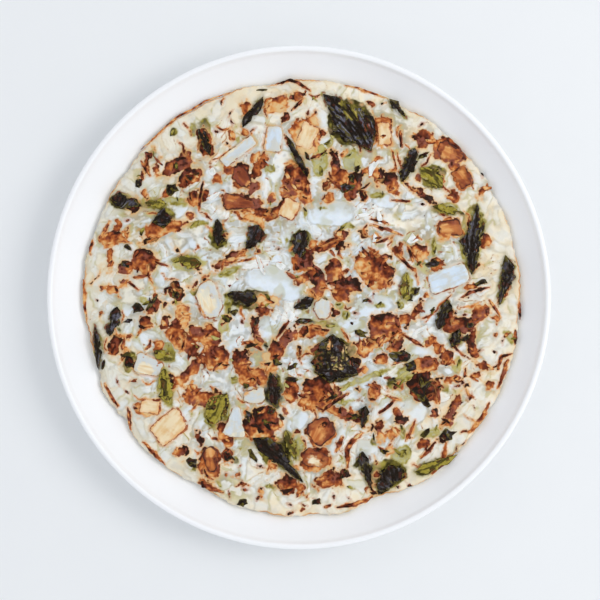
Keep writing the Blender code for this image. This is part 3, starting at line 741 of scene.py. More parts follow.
@dataclass
class Patchwork:
    """Numbers at every point of a surface that say how far inside the nearest patch the point lies."""

    places: Array
    dabs: Sequence[Dab] = ()
    squareness: float = 2.0
    seam: float = 0.35
    margin: float = 5.0
    inside: Array = field(init=False)
    tone: Array = field(init=False)
    cross: Array = field(init=False)

    def __post_init__(self) -> None:
        """Starts with no patch anywhere near, and adds its own."""
        self.inside = np.full(len(self.places), OUTSIDE)
        self.tone, self.cross = np.zeros(len(self.places)), np.zeros(len(self.places))
        for dab in self.dabs:
            self.add_dab(dab, self.squareness)

    def _take(self, near: Array, wins: Array, depth: Array, tone: float, cross: Array) -> None:
        """Keeps a patch's numbers at the nearby points where it wins."""
        chosen = near[wins]
        self.inside[chosen], self.tone[chosen], self.cross[chosen] = depth[wins], tone, cross[wins]

    def _dab(self, dab: Dab, squareness: float) -> tuple[Array, Array, Array]:
        """Where the points round a patch lie against it.

        Args:
            dab: the patch.
            squareness: 2 for an oval, and more for one with corners.

        Returns:
            The nearby points' numbers, how far each is inside the patch, and how far across it.
        """
        half_long, half_wide = dab.length * PLAN_SCALE / 2, dab.width * PLAN_SCALE / 2
        offset = self.places - plan(dab.at)
        near = np.flatnonzero(np.abs(offset).max(axis=1) < half_long + half_wide + self.margin)
        along, across = (offset[near] @ way for way in directions(math.radians(dab.turn)))
        across = across - dab.bend * half_long * ((along / half_long) ** 2 - 0.4)
        reach = np.abs(along / half_long) ** squareness + np.abs(across / half_wide) ** squareness
        reach = reach ** (1 / squareness)
        return near, (1 - reach) * min(half_long, half_wide), across

    def add_dab(self, dab: Dab, squareness: float) -> None:
        """Adds a rounded patch, or one with corners where squareness is more than 2."""
        near, depth, across = self._dab(dab, squareness)
        self._take(near, depth > self.inside[near], depth, dab.tone, across)

    def lay_dab(self, dab: Dab, squareness: float) -> None:
        """Adds a patch that hides the ones below it, with a narrow seam round it."""
        near, depth, across = self._dab(dab, squareness)
        self._take(near, depth > -self.seam, depth, dab.tone, across)

    def add_stroke(self, stroke: Stroke) -> None:
        """Adds a line that thins out towards its ends.

        Args:
            stroke: the line.
        """
        points = [plan(at) for at in stroke.points]
        half = stroke.width * PLAN_SCALE / 2
        low = np.min(points, axis=0) - 4
        high = np.max(points, axis=0) + 4
        near = np.flatnonzero(((self.places > low) & (self.places < high)).all(axis=1))
        best = np.full(len(near), 99.0)
        run = np.zeros(len(near))
        total = len(points) - 1
        for index, (start, end) in enumerate(zip(points[:-1], points[1:], strict=True)):
            step = end - start
            share = np.clip((self.places[near] - start) @ step / (step @ step), 0, 1)
            away = np.linalg.norm(self.places[near] - start - share[:, None] * step, axis=1)
            closer = away < best
            best[closer] = away[closer]
            run[closer] = (index + share[closer]) / total
        taper = 0.45 + 0.55 * np.sin(np.pi * np.clip(run, 0.02, 0.98))
        depth = half * taper - best
        self._take(near, depth > self.inside[near], depth, stroke.tone, best)


CRUSTS = dabs(
    (450, 150, 35, 24, -20, 50), (424, 138, 18, 15, 20, 50), (463, 178, 15, 20, 20, 50),
    (450, 228, 22, 20, 10, 35), (242, 175, 17, 22, 0, 72), (259, 166, 30, 7, 60, 66),
    (230, 170, 12, 10, 0, 45), (252, 187, 14, 9, 20, 42), (255, 157, 9, 8, 0, 45),
    (240, 202, 36, 16, -6, 52), (294, 180, 20, 36, -14, 55), (305, 193, 10, 18, 0, 50),
    (270, 211, 30, 9, 10, 72, 50), (178, 164, 24, 12, 30, 60), (186, 178, 16, 10, 70, 62),
    (194, 196, 11, 13, 0, 66), (196, 175, 8, 9, 0, 60), (335, 162, 5, 22, 0, 70),
    (340, 180, 18, 14, 30, 62), (353, 187, 12, 26, -18, 68), (328, 198, 12, 8, 20, 50),
    (392, 182, 11, 22, 10, 52), (425, 196, 26, 6, -36, 62), (454, 195, 12, 12, 45, 50),
    (143, 262, 25, 20, -20, 55), (125, 268, 14, 12, 0, 50), (121, 237, 9, 8, 0, 60),
    (110, 258, 5, 18, 0, 45), (112, 290, 12, 8, 0, 40), (145, 322, 12, 13, 0, 68),
    (153, 305, 24, 8, 60, 62, 35), (165, 322, 6, 11, 0, 62), (175, 291, 13, 18, 20, 78),
    (183, 342, 36, 15, -40, 55), (211, 338, 20, 18, -50, 52), (191, 370, 42, 9, 42, 52),
    (217, 358, 24, 24, 0, 52), (241, 362, 15, 22, 10, 66), (252, 377, 23, 15, 0, 50),
    (273, 357, 12, 28, -20, 56), (256, 330, 9, 24, 4, 56), (287, 338, 20, 10, 45, 48),
    (264, 312, 14, 10, -10, 50), (303, 261, 20, 22, 0, 56), (317, 278, 14, 26, 30, 66),
    (315, 293, 13, 12, 0, 38), (303, 279, 14, 9, 10, 52), (330, 246, 30, 8, 8, 58, -20),
    (341, 236, 12, 12, 0, 66), (334, 273, 17, 24, 10, 50), (348, 283, 28, 11, -5, 68),
    (340, 294, 14, 10, 0, 62), (312, 331, 18, 9, 0, 50), (375, 270, 40, 30, -45, 56),
    (364, 257, 18, 10, 20, 54), (398, 250, 9, 12, 0, 60), (385, 327, 32, 28, 10, 50),
    (372, 343, 26, 14, 20, 52), (396, 342, 14, 22, -10, 68), (402, 320, 22, 8, 10, 60),
    (419, 308, 20, 7, 55, 60), (449, 322, 12, 20, 10, 66), (463, 325, 22, 12, 0, 60),
    (482, 312, 16, 14, 0, 50), (473, 347, 20, 6, -70, 66, 30), (447, 358, 14, 14, 0, 50),
    (427, 364, 23, 13, 8, 48), (485, 365, 14, 8, -20, 56), (476, 376, 10, 8, 0, 50),
    (492, 386, 10, 8, 0, 50), (453, 379, 14, 7, 35, 50), (438, 392, 5, 20, -8, 54),
    (452, 412, 30, 9, 58, 56), (434, 413, 6, 11, -20, 60), (374, 393, 10, 20, -10, 58),
    (381, 358, 13, 10, 0, 66), (366, 344, 20, 9, 15, 52), (318, 394, 28, 34, 10, 60),
    (335, 393, 14, 10, 0, 55), (321, 433, 27, 25, 20, 56), (316, 460, 30, 22, 20, 56),
    (350, 417, 34, 9, -22, 50), (380, 430, 8, 18, 8, 48), (403, 421, 12, 9, 0, 62),
    (200, 398, 36, 14, -6, 48), (199, 438, 6, 14, 20, 76), (210, 461, 20, 28, -8, 62),
    (179, 453, 10, 8, 0, 50), (222, 433, 10, 12, 0, 50), (228, 443, 8, 8, 0, 50),
    (262, 424, 32, 28, 30, 66), (325, 480, 22, 14, 30, 60), (287, 485, 20, 18, -40, 66),
    (300, 490, 9, 12, 0, 56), (114, 346, 12, 20, -25, 68), (146, 163, 5, 18, -20, 60),
    (156, 166, 5, 14, -10, 56), (486, 241, 10, 12, 0, 56), (484, 190, 14, 6, 50, 50),
    (420, 252, 12, 12, 0, 40), (305, 136, 26, 34, 22, 24), (276, 104, 25, 15, 15, 36),
    (300, 97, 9, 12, 0, 42), (383, 132, 15, 25, 5, 40), (108, 240, 15, 16, 10, 42),
    (148, 408, 24, 16, 10, 40), (246, 108, 9, 15, 20, 42), (268, 301, 22, 10, 0, 16),
    (182, 315, 11, 18, 0, 16), (422, 387, 20, 26, 20, 84), (440, 348, 9, 10, 0, 50),
    (393, 433, 12, 12, 0, 42), (424, 444, 12, 9, 0, 60), (336, 478, 10, 16, 20, 60),
    (205, 141, 13, 26, 20, 72), (165, 228, 36, 12, 10, 55), (232, 258, 28, 5, 30, 48),
    (292, 392, 12, 20, 10, 60), (305, 400, 12, 12, 0, 56), (355, 366, 12, 18, 0, 70),
    (341, 412, 24, 8, -15, 54), (345, 474, 8, 9, 40, 74), (227, 457, 10, 12, 0, 62),
)

STREAKS = strokes(
    (2.2, 34, 230, 91, 205, 100, 190, 109, 175, 117, 162, 129, 152, 138, 140, 149),
    (4, 60, 120, 174, 115, 182, 110, 190), (3.4, 66, 277, 83, 290, 79, 298, 82, 311, 91),
    (2.2, 38, 345, 84, 358, 87, 372, 92, 387, 97), (2.4, 50, 413, 110, 426, 115, 440, 124, 451, 134),
    (3.5, 56, 466, 150, 473, 159), (2.6, 48, 519, 254, 521, 266, 522, 279), (3, 50, 520, 300, 521, 320),
    (4, 50, 508, 360, 504, 374, 499, 388), (3, 56, 512, 354, 503, 356, 498, 370),
    (4, 46, 490, 403, 484, 415, 475, 428, 468, 433), (4, 50, 373, 498, 364, 502, 350, 506, 337, 508),
    (3, 60, 325, 508, 331, 505), (4.5, 52, 222, 493, 210, 489, 199, 483),
    (3.4, 40, 143, 443, 153, 454, 164, 465), (3.4, 50, 104, 384, 110, 396, 117, 407),
    (3, 64, 127, 410, 129, 430), (3.4, 34, 82, 279, 83, 290, 83, 300, 85, 321), (3.5, 50, 91, 239, 89, 254),
    (3.6, 60, 455, 455, 445, 465, 432, 475), (4, 50, 516, 330, 516, 344),
    (2.6, 72, 302, 99, 297, 105, 292, 110), (2.4, 50, 211, 160, 225, 154, 240, 148, 250, 138, 253, 130),
    (3, 60, 203, 181, 200, 196, 199, 211), (2.6, 56, 392, 150, 395, 161, 398, 172),
    (2.4, 56, 397, 150, 402, 165), (3, 60, 401, 130, 401, 147), (3, 50, 109, 221, 104, 230, 99, 238),
    (3, 60, 165, 288, 166, 295), (3.5, 60, 240, 342, 252, 344, 262, 350),
    (3.4, 64, 289, 321, 283, 329, 277, 337), (3.4, 58, 398, 255, 406, 263, 413, 271),
    (3, 72, 452, 340, 458, 352, 472, 360), (3.4, 60, 396, 399, 388, 407, 379, 414),
    (3.6, 70, 348, 394, 335, 401, 322, 412), (5, 50, 362, 433, 352, 442, 347, 450, 348, 468),
    (3, 50, 343, 438, 340, 445, 336, 453), (3.4, 58, 140, 160, 150, 176), (2.6, 60, 370, 219, 388, 223),
    (2.8, 56, 371, 225, 386, 229, 402, 235), (2.6, 60, 376, 243, 390, 238),
    (3, 56, 403, 335, 413, 340, 424, 347), (3.4, 56, 436, 442, 429, 451, 421, 459),
    (4, 54, 446, 442, 445, 452, 444, 463), (2.6, 44, 416, 421, 411, 431, 406, 442),
    (2.6, 60, 392, 200, 410, 201), (2.6, 56, 127, 281, 139, 290),
    (2.6, 52, 230, 211, 237, 212, 239, 217, 258, 223),
    (3, 52, 222, 270, 223, 261, 232, 262, 236, 258, 243, 252), (2.4, 60, 155, 262, 168, 266),
    (2.4, 60, 133, 277, 150, 275), (3, 60, 408, 246, 411, 254, 413, 262),
    (3, 56, 490, 300, 496, 309, 502, 318), (2.8, 60, 124, 338, 122, 350),
    (3.2, 50, 197, 303, 201, 311, 206, 318), (2.4, 56, 452, 295, 440, 306, 425, 322),
    (3, 80, 461, 298, 470, 293, 478, 290, 490, 287), (3, 60, 468, 172, 471, 180, 474, 188),
    (3, 50, 320, 246, 330, 240, 341, 237), (3, 54, 330, 250, 335, 256), (4, 70, 287, 273, 296, 278),
    (2.2, 50, 238, 262, 248, 260, 257, 258), (4, 84, 256, 337, 264, 342), (3, 74, 384, 378, 391, 378),
    (2.6, 42, 378, 447, 384, 451), (3.4, 66, 430, 382, 437, 385, 438, 392, 440, 404),
    (3, 70, 393, 364, 402, 360), (3, 52, 342, 436, 337, 450), (3, 70, 428, 172, 440, 184, 449, 192),
)

HERBS = dabs(
    (445, 208, 26, 11, 5, 30), (407, 287, 10, 28, -5, 30), (188, 263, 34, 15, 0, 12),
    (165, 352, 22, 20, 0, 40), (166, 387, 16, 38, 10, 28), (223, 325, 11, 18, -20, 25),
    (457, 365, 9, 16, -8, 20), (408, 373, 26, 14, 20, 30), (270, 169, 12, 10, 0, 40),
    (377, 195, 15, 6, 0, 40), (348, 227, 16, 6, 10, 30, -40), (402, 433, 9, 12, 20, 35),
    (228, 272, 22, 8, 25, 25), (152, 152, 5, 8, 0, 40), (305, 213, 4, 10, 0, 40), (434, 248, 4, 18, 0, 35),
    (195, 225, 22, 7, 10, 30), (431, 434, 22, 8, 10, 30), (340, 305, 8, 10, 0, 30), (346, 315, 7, 9, 0, 30),
    (235, 380, 9, 8, 0, 50), (235, 460, 7, 7, 0, 40), (330, 143, 7, 9, 0, 40), (193, 292, 7, 8, 0, 40),
    (178, 303, 7, 7, 0, 40), (401, 305, 7, 9, 0, 35), (320, 160, 16, 32, -10, 22),
    (352, 160, 18, 22, 20, 5), (433, 176, 26, 22, 30, 62), (344, 402, 16, 6, 15, 20),
    (260, 420, 30, 24, 40, 68), (362, 380, 60, 6, 22, 10), (217, 411, 26, 36, -10, 40),
    (176, 201, 26, 8, -10, 30), (152, 203, 24, 10, -15, 34), (193, 130, 8, 12, 10, 30),
    (228, 305, 8, 26, 0, 40), (322, 324, 28, 6, -6, 50), (402, 455, 20, 18, 30, 22),
    (300, 448, 10, 26, 0, 40), (414, 291, 9, 9, 0, 70), (441, 170, 8, 6, 0, 40),
    (395, 384, 16, 12, -10, 60), (302, 246, 26, 32, 0, 60), (218, 236, 20, 26, 0, 60),
    (337, 360, 46, 44, 0, 70), (250, 300, 44, 20, 0, 70), (275, 452, 34, 30, -40, 60),
    (386, 475, 44, 30, 10, 62), (436, 467, 44, 14, 20, 60), (124, 202, 34, 14, -10, 60),
    (472, 235, 24, 60, -6, 40), (350, 122, 44, 48, 0, 80), (205, 128, 12, 22, 20, 50),
    (129, 362, 16, 20, 0, 60), (166, 218, 20, 20, 0, 60), (274, 392, 20, 36, 0, 70),
)

DARKS = dabs(
    (172, 188, 14, 12, 60), (305, 321, 21, 8, 0), (447, 435, 19, 13, 20), (421, 389, 24, 18, 60),
    (425, 401, 16, 9, -40), (400, 356, 21, 14, -10), (410, 367, 13, 12, 40), (128, 361, 19, 14, 70),
    (192, 464, 18, 12, -20), (434, 263, 15, 8, 10), (353, 417, 12, 8, 20), (139, 183, 10, 8, 0),
    (138, 309, 13, 11, 30), (128, 321, 13, 6, 10), (128, 247, 9, 5, -30), (345, 474, 11, 8, 50),
    (227, 456, 13, 10, -50), (252, 456, 14, 7, -60), (249, 415, 16, 8, -65), (246, 386, 10, 8, 30),
    (293, 379, 14, 8, -10), (293, 367, 13, 7, 20), (481, 283, 13, 6, 20), (317, 502, 10, 8, 30),
    (243, 504, 11, 9, 20), (361, 333, 13, 8, -20), (417, 291, 10, 8, 45), (471, 325, 9, 6, 0),
    (262, 89, 11, 4, 5), (103, 365, 12, 5, 80), (277, 362, 11, 7, -40), (270, 412, 12, 6, 20),
    (282, 418, 9, 6, -50), (424, 155, 13, 8, 5), (345, 187, 18, 9, 15), (352, 177, 12, 7, -70),
    (412, 148, 8, 5, 60), (250, 346, 14, 5, 20), (218, 412, 13, 9, -40), (215, 421, 8, 7, 0),
    (176, 294, 13, 8, 70), (126, 265, 10, 6, -20), (152, 303, 18, 7, 60), (391, 380, 12, 5, 0),
    (322, 357, 12, 8, 40), (430, 177, 14, 7, -50), (440, 181, 10, 7, 0), (449, 216, 8, 5, 0),
    (166, 213, 12, 6, -60), (266, 447, 13, 8, -40), (330, 398, 16, 5, 25), (257, 322, 8, 5, 60),
    (358, 168, 9, 6, 60), (298, 150, 10, 5, -40), (307, 156, 9, 5, -60), (196, 174, 8, 5, 20),
    (160, 222, 10, 5, 20), (366, 300, 8, 4, 30), (466, 338, 9, 5, 40), (433, 310, 8, 5, 60),
    (235, 312, 10, 7, 10), (236, 298, 9, 6, 30), (190, 178, 9, 5, -30), (384, 452, 9, 5, 0),
)

CELLS = dabs(
    (448, 276, 42, 24, 18, 30), (209, 300, 26, 40, -12, 40), (150, 367, 30, 26, -20, 30),
    (274, 138, 18, 26, -6, 20), (238, 151, 46, 14, 38, 50), (318, 148, 34, 16, 45, 30),
    (323, 310, 22, 26, 0, 30), (255, 397, 24, 24, 10, 30), (236, 420, 24, 30, 0, 30),
    (200, 424, 30, 10, 60, 20), (150, 338, 24, 16, -20, 40), (149, 186, 34, 16, 30, 50, -40),
    (382, 157, 13, 16, 0, 10), (436, 308, 40, 22, 50, 30), (472, 284, 38, 10, 18, 50),
    (385, 436, 34, 12, 75, 30), (338, 442, 36, 12, 65, 30), (275, 282, 60, 30, -20, 10),
    (215, 193, 30, 18, 20, 20), (330, 213, 46, 26, 0, 10), (370, 306, 50, 20, 10, 20),
    (385, 201, 24, 14, -20, 20), (411, 413, 34, 26, 40, 10), (300, 420, 22, 14, 60, 20),
    (462, 430, 30, 16, 70, 20), (424, 352, 30, 12, -20, 20), (288, 232, 16, 30, 0, 40),
    (240, 235, 30, 16, 0, 60), (215, 262, 14, 26, 0, 40), (252, 262, 36, 14, 10, 80),
    (320, 258, 18, 10, 10, 40), (362, 275, 20, 12, 0, 30), (425, 385, 30, 14, 70, 20),
    (391, 411, 30, 10, 45, 10), (430, 450, 36, 9, 55, 30), (450, 450, 30, 9, 70, 50),
    (404, 443, 34, 12, 60, 20), (367, 452, 22, 26, 0, 30), (300, 338, 22, 12, 60, 20),
    (262, 330, 20, 30, 10, 30), (380, 374, 34, 10, -35, 10), (345, 399, 40, 10, 20, 60),
)

TANNED = dabs(
    (270, 216, 74, 46, 20), (266, 374, 66, 76, 0), (357, 172, 74, 52, -30), (426, 250, 50, 66, 0),
    (246, 422, 70, 60, 30), (385, 136, 60, 56, -20), (138, 228, 54, 66, 0), (320, 338, 60, 56, 0),
    (182, 168, 60, 40, 30), (300, 190, 44, 60, 0), (420, 380, 50, 50, 0), (222, 484, 70, 26, -30),
    (224, 262, 50, 40, 0), (350, 300, 40, 40, 0), (470, 330, 36, 60, 0), (190, 330, 60, 50, 0),
)
BARE = [((276, 284), 36.0), ((322, 214), 26.0), ((372, 306), 24.0), ((230, 262), 20.0)]

SPECKS = [
    (423, 204), (422, 124), (483, 174), (494, 189), (97, 301), (127, 220), (230, 113), (232, 122),
    (227, 143), (217, 132), (252, 130), (308, 113), (316, 112), (463, 383), (458, 386), (470, 398),
    (475, 408), (495, 352), (480, 351), (507, 335), (503, 341), (290, 505), (304, 506), (290, 514),
    (293, 513), (334, 497), (349, 499), (260, 467), (240, 466), (226, 475), (242, 484), (245, 490),
    (261, 489), (258, 498), (229, 495), (410, 486), (398, 488), (404, 477), (374, 294), (369, 301),
    (356, 313), (465, 315), (456, 313), (117, 382), (126, 392), (135, 408), (464, 444), (457, 449),
    (279, 249), (205, 280), (430, 396), (470, 397), (248, 235), (242, 321), (444, 216), (246, 387),
    (140, 183), (128, 247), (292, 367), (360, 334), (412, 366), (471, 325), (317, 502),
]


class Browning(Enum):
    """How dark a random scrap is fried."""

    GOLDEN = 0.34
    BROWN = 0.55
    DARK = 0.78


@dataclass
class RandomFill:
    """Seeded patches between the placed ones, thrown evenly over the pancake."""

    seed: int
    reach: float = 213.0
    tries: int = 12

    def spots(self, count: int, apart: float) -> list[tuple[Point, Dice]]:
        """Spots in the top view's pixels, no two nearer than apart.

        Args:
            count: how many are tried for.
            apart: least distance in pixels.

        Returns:
            The spots, each with the dice for what lies there.
        """
        dice = np.random.default_rng(self.seed)
        kept: list[tuple[Point, Dice]] = []
        for _ in range(count * self.tries):
            if len(kept) == count:
                break
            angle = dice.uniform(0, 2 * math.pi)
            away = self.reach * math.sqrt(dice.uniform(0, 1))
            spot = (PANCAKE_AT[0] + away * math.cos(angle), PANCAKE_AT[1] + away * math.sin(angle))
            if all(math.dist(spot, other) > apart for other, _ in kept):
                kept.append((spot, np.random.default_rng(dice.integers(1 << 30))))
        return kept

    def off_bare(self, count: int, apart: float) -> list[tuple[Point, Dice]]:
        """Those of the spots that lie outside the bare areas."""
        spots = self.spots(count, apart)
        return [spot for spot in spots if all(math.dist(spot[0], middle) > reach for middle, reach in BARE)]

    def cells(self, count: int) -> list[Dab]:
        """Stem cells of mixed shapes."""
        spans = ((12, 34), (6, 14), (0, 180), (0, 1), (-0.35, 0.35))
        return [Dab(spot, *(dice.uniform(*span) for span in spans)) for spot, dice in self.spots(count, 9)]

    def strips(self, count: int) -> list[Dab]:
        """Slim curved strips of stem."""
        return [
            Dab(
                spot, dice.uniform(16, 40), dice.uniform(3.5, 7), dice.normal(50, 40), dice.uniform(0, 1),
                dice.uniform(-0.25, 0.25),
            )
            for spot, dice in self.spots(count, 12)
        ]

    def crusts(self, count: int) -> list[Dab]:
        """Small fried patches.

        Args:
            count: how many are tried for.

        Returns:
            The patches, fewer where the pancake is bare.
        """
        made = []
        for spot, dice in self.off_bare(count, 8):
            length = dice.uniform(3, 11)
            width = length * dice.uniform(0.35, 0.9)
            tone = dice.choice([shade.value for shade in Browning]) + dice.uniform(-0.1, 0.1)
            made.append(Dab(spot, length, width, dice.uniform(0, 180), tone, dice.uniform(-0.4, 0.4)))
        return made

    def streaks(self, count: int) -> list[Stroke]:
        """Thin fried lines, most of them bent.

        Args:
            count: how many are tried for.

        Returns:
            The lines, fewer where the pancake is bare.
        """
        made = []
        for spot, dice in self.off_bare(count, 10):
            turn, length, bow = dice.uniform(0, 2 * math.pi), dice.uniform(6, 20), dice.uniform(-4, 4)
            run, side = directions(turn)
            middle, half = np.array(spot), run * length / 2
            line = (middle - half, middle + side * bow, middle + half)
            points = tuple((float(x), float(y)) for x, y in line)
            made.append(Stroke(points, dice.uniform(1.4, 2.6), dice.uniform(0.35, 0.72)))
        return made

    def herbs(self, count: int) -> list[Dab]:
        """Small shreds of green."""
        return [
            Dab(
                spot, length := dice.uniform(4, 14), length * dice.uniform(0.25, 0.6), dice.uniform(0, 180),
                dice.uniform(0.1, 0.8),
            )
            for spot, dice in self.spots(count, 20)
        ]


def mesh_object(
    name: str, points: Array, faces: Sequence[Sequence[int]], fields: dict[str, Array]
) -> Object:
    """A smooth closed mesh, its faces outwards, with numbers at its points.

    Args:
        name: name of the piece.
        points: its points in mm.
        faces: its faces.
        fields: numbers at the points, by name.

    Returns:
        The object.
    """
    mesh = bpy.data.meshes.new(name)
    mesh.from_pydata((points * MM).tolist(), [], faces)
    mesh.shade_smooth()
    for key, values in fields.items():
        layer = mesh.attributes.new(key, "FLOAT", "POINT")
        layer.data.foreach_set("value", np.asarray(values, dtype=np.float32))
    shaped = bmesh.new()
    shaped.from_mesh(mesh)
    bmesh.ops.recalc_face_normals(shaped, faces=shaped.faces)
    shaped.to_mesh(mesh)
    shaped.free()
    obj = bpy.data.objects.new(name, mesh)
    bpy.context.scene.collection.objects.link(obj)
    return obj


def surface_of(obj: Object) -> BVHTree:
    """An object's surface in its own place, in metres."""
    points = [obj.matrix_world @ vertex.co for vertex in obj.data.vertices]
    return BVHTree.FromPolygons(points, [tuple(face.vertices) for face in obj.data.polygons])


def places_in(node: Object) -> Array:
    """The places of a node's points in mm."""
    return np.array([(node.matrix_world @ vertex.co)[:] for vertex in node.data.vertices]) / MM


def height_on(tree: BVHTree, place: Array, way: int = -1) -> float:
    """Height in mm at which a line down (-1) or up (1) meets a surface at a flat place, or NaN beside it."""
    hit = tree.ray_cast(Vector((place[0] * MM, place[1] * MM, -0.1 * way)), Vector((0, 0, way)))[0]
    return math.nan if hit is None else hit.z / MM


def blurred(grid: Array, passes: int) -> Array:
    """Smooths a square grid of numbers.

    Args:
        grid: the numbers.
        passes: how many times each is mixed with its four neighbours.

    Returns:
        The smoothed numbers.
    """
    for _ in range(passes):
        wider = np.pad(grid, 1, mode="edge")
        grid = (wider[:-2, 1:-1] + wider[2:, 1:-1] + wider[1:-1, :-2] + wider[1:-1, 2:] + 4 * grid) / 8
    return grid


def inside_outline(places: Array, outline: Array) -> tuple[Array, Array]:
    """Where flat places lie against a closed outline.

    Args:
        places: the places in mm.
        outline: the outline's points in mm.

    Returns:
        Whether each place is inside, and its distance to the outline.
    """
    crossings = np.zeros(len(places), dtype=int)
    nearest = np.full(len(places), 1e9)
    for start, end in zip(outline, np.roll(outline, -1, axis=0), strict=True):
        above = (start[1] > places[:, 1]) != (end[1] > places[:, 1])
        slope = (end[0] - start[0]) / (end[1] - start[1] if end[1] != start[1] else 1e-9)
        crossings += above & (places[:, 0] < start[0] + slope * (places[:, 1] - start[1]))
        step = end - start
        share = np.clip((places - start) @ step / max(step @ step, 1e-9), 0, 1)
        nearest = np.minimum(nearest, np.linalg.norm(places - start - share[:, None] * step, axis=1))
    return crossings % 2 == 1, nearest


def outline_of(node: Object) -> Array:
    """The outline of a CAD node seen from above.

    Args:
        node: the node.

    Returns:
        The outline's points in mm, in order.
    """
    shaped = bmesh.new()
    shaped.from_mesh(node.data)
    bmesh.ops.remove_doubles(shaped, verts=shaped.verts, dist=1e-6)
    shaped.normal_update()
    shaped.verts.index_update()
    points = np.array([(node.matrix_world @ vertex.co)[:2] for vertex in shaped.verts]) / MM
    upper = {face for face in shaped.faces if face.normal.z > 0.15}
    follow: dict[int, int] = {}
    for face in upper:
        for loop in face.loops:
            if any(other not in upper for other in loop.edge.link_faces):
                follow[loop.vert.index] = loop.link_loop_next.vert.index
    shaped.free()
    start = min(follow)
    ring = [start]
    while follow.get(ring[-1], start) != start and len(ring) <= len(follow):
        ring.append(follow[ring[-1]])
    return points[ring]


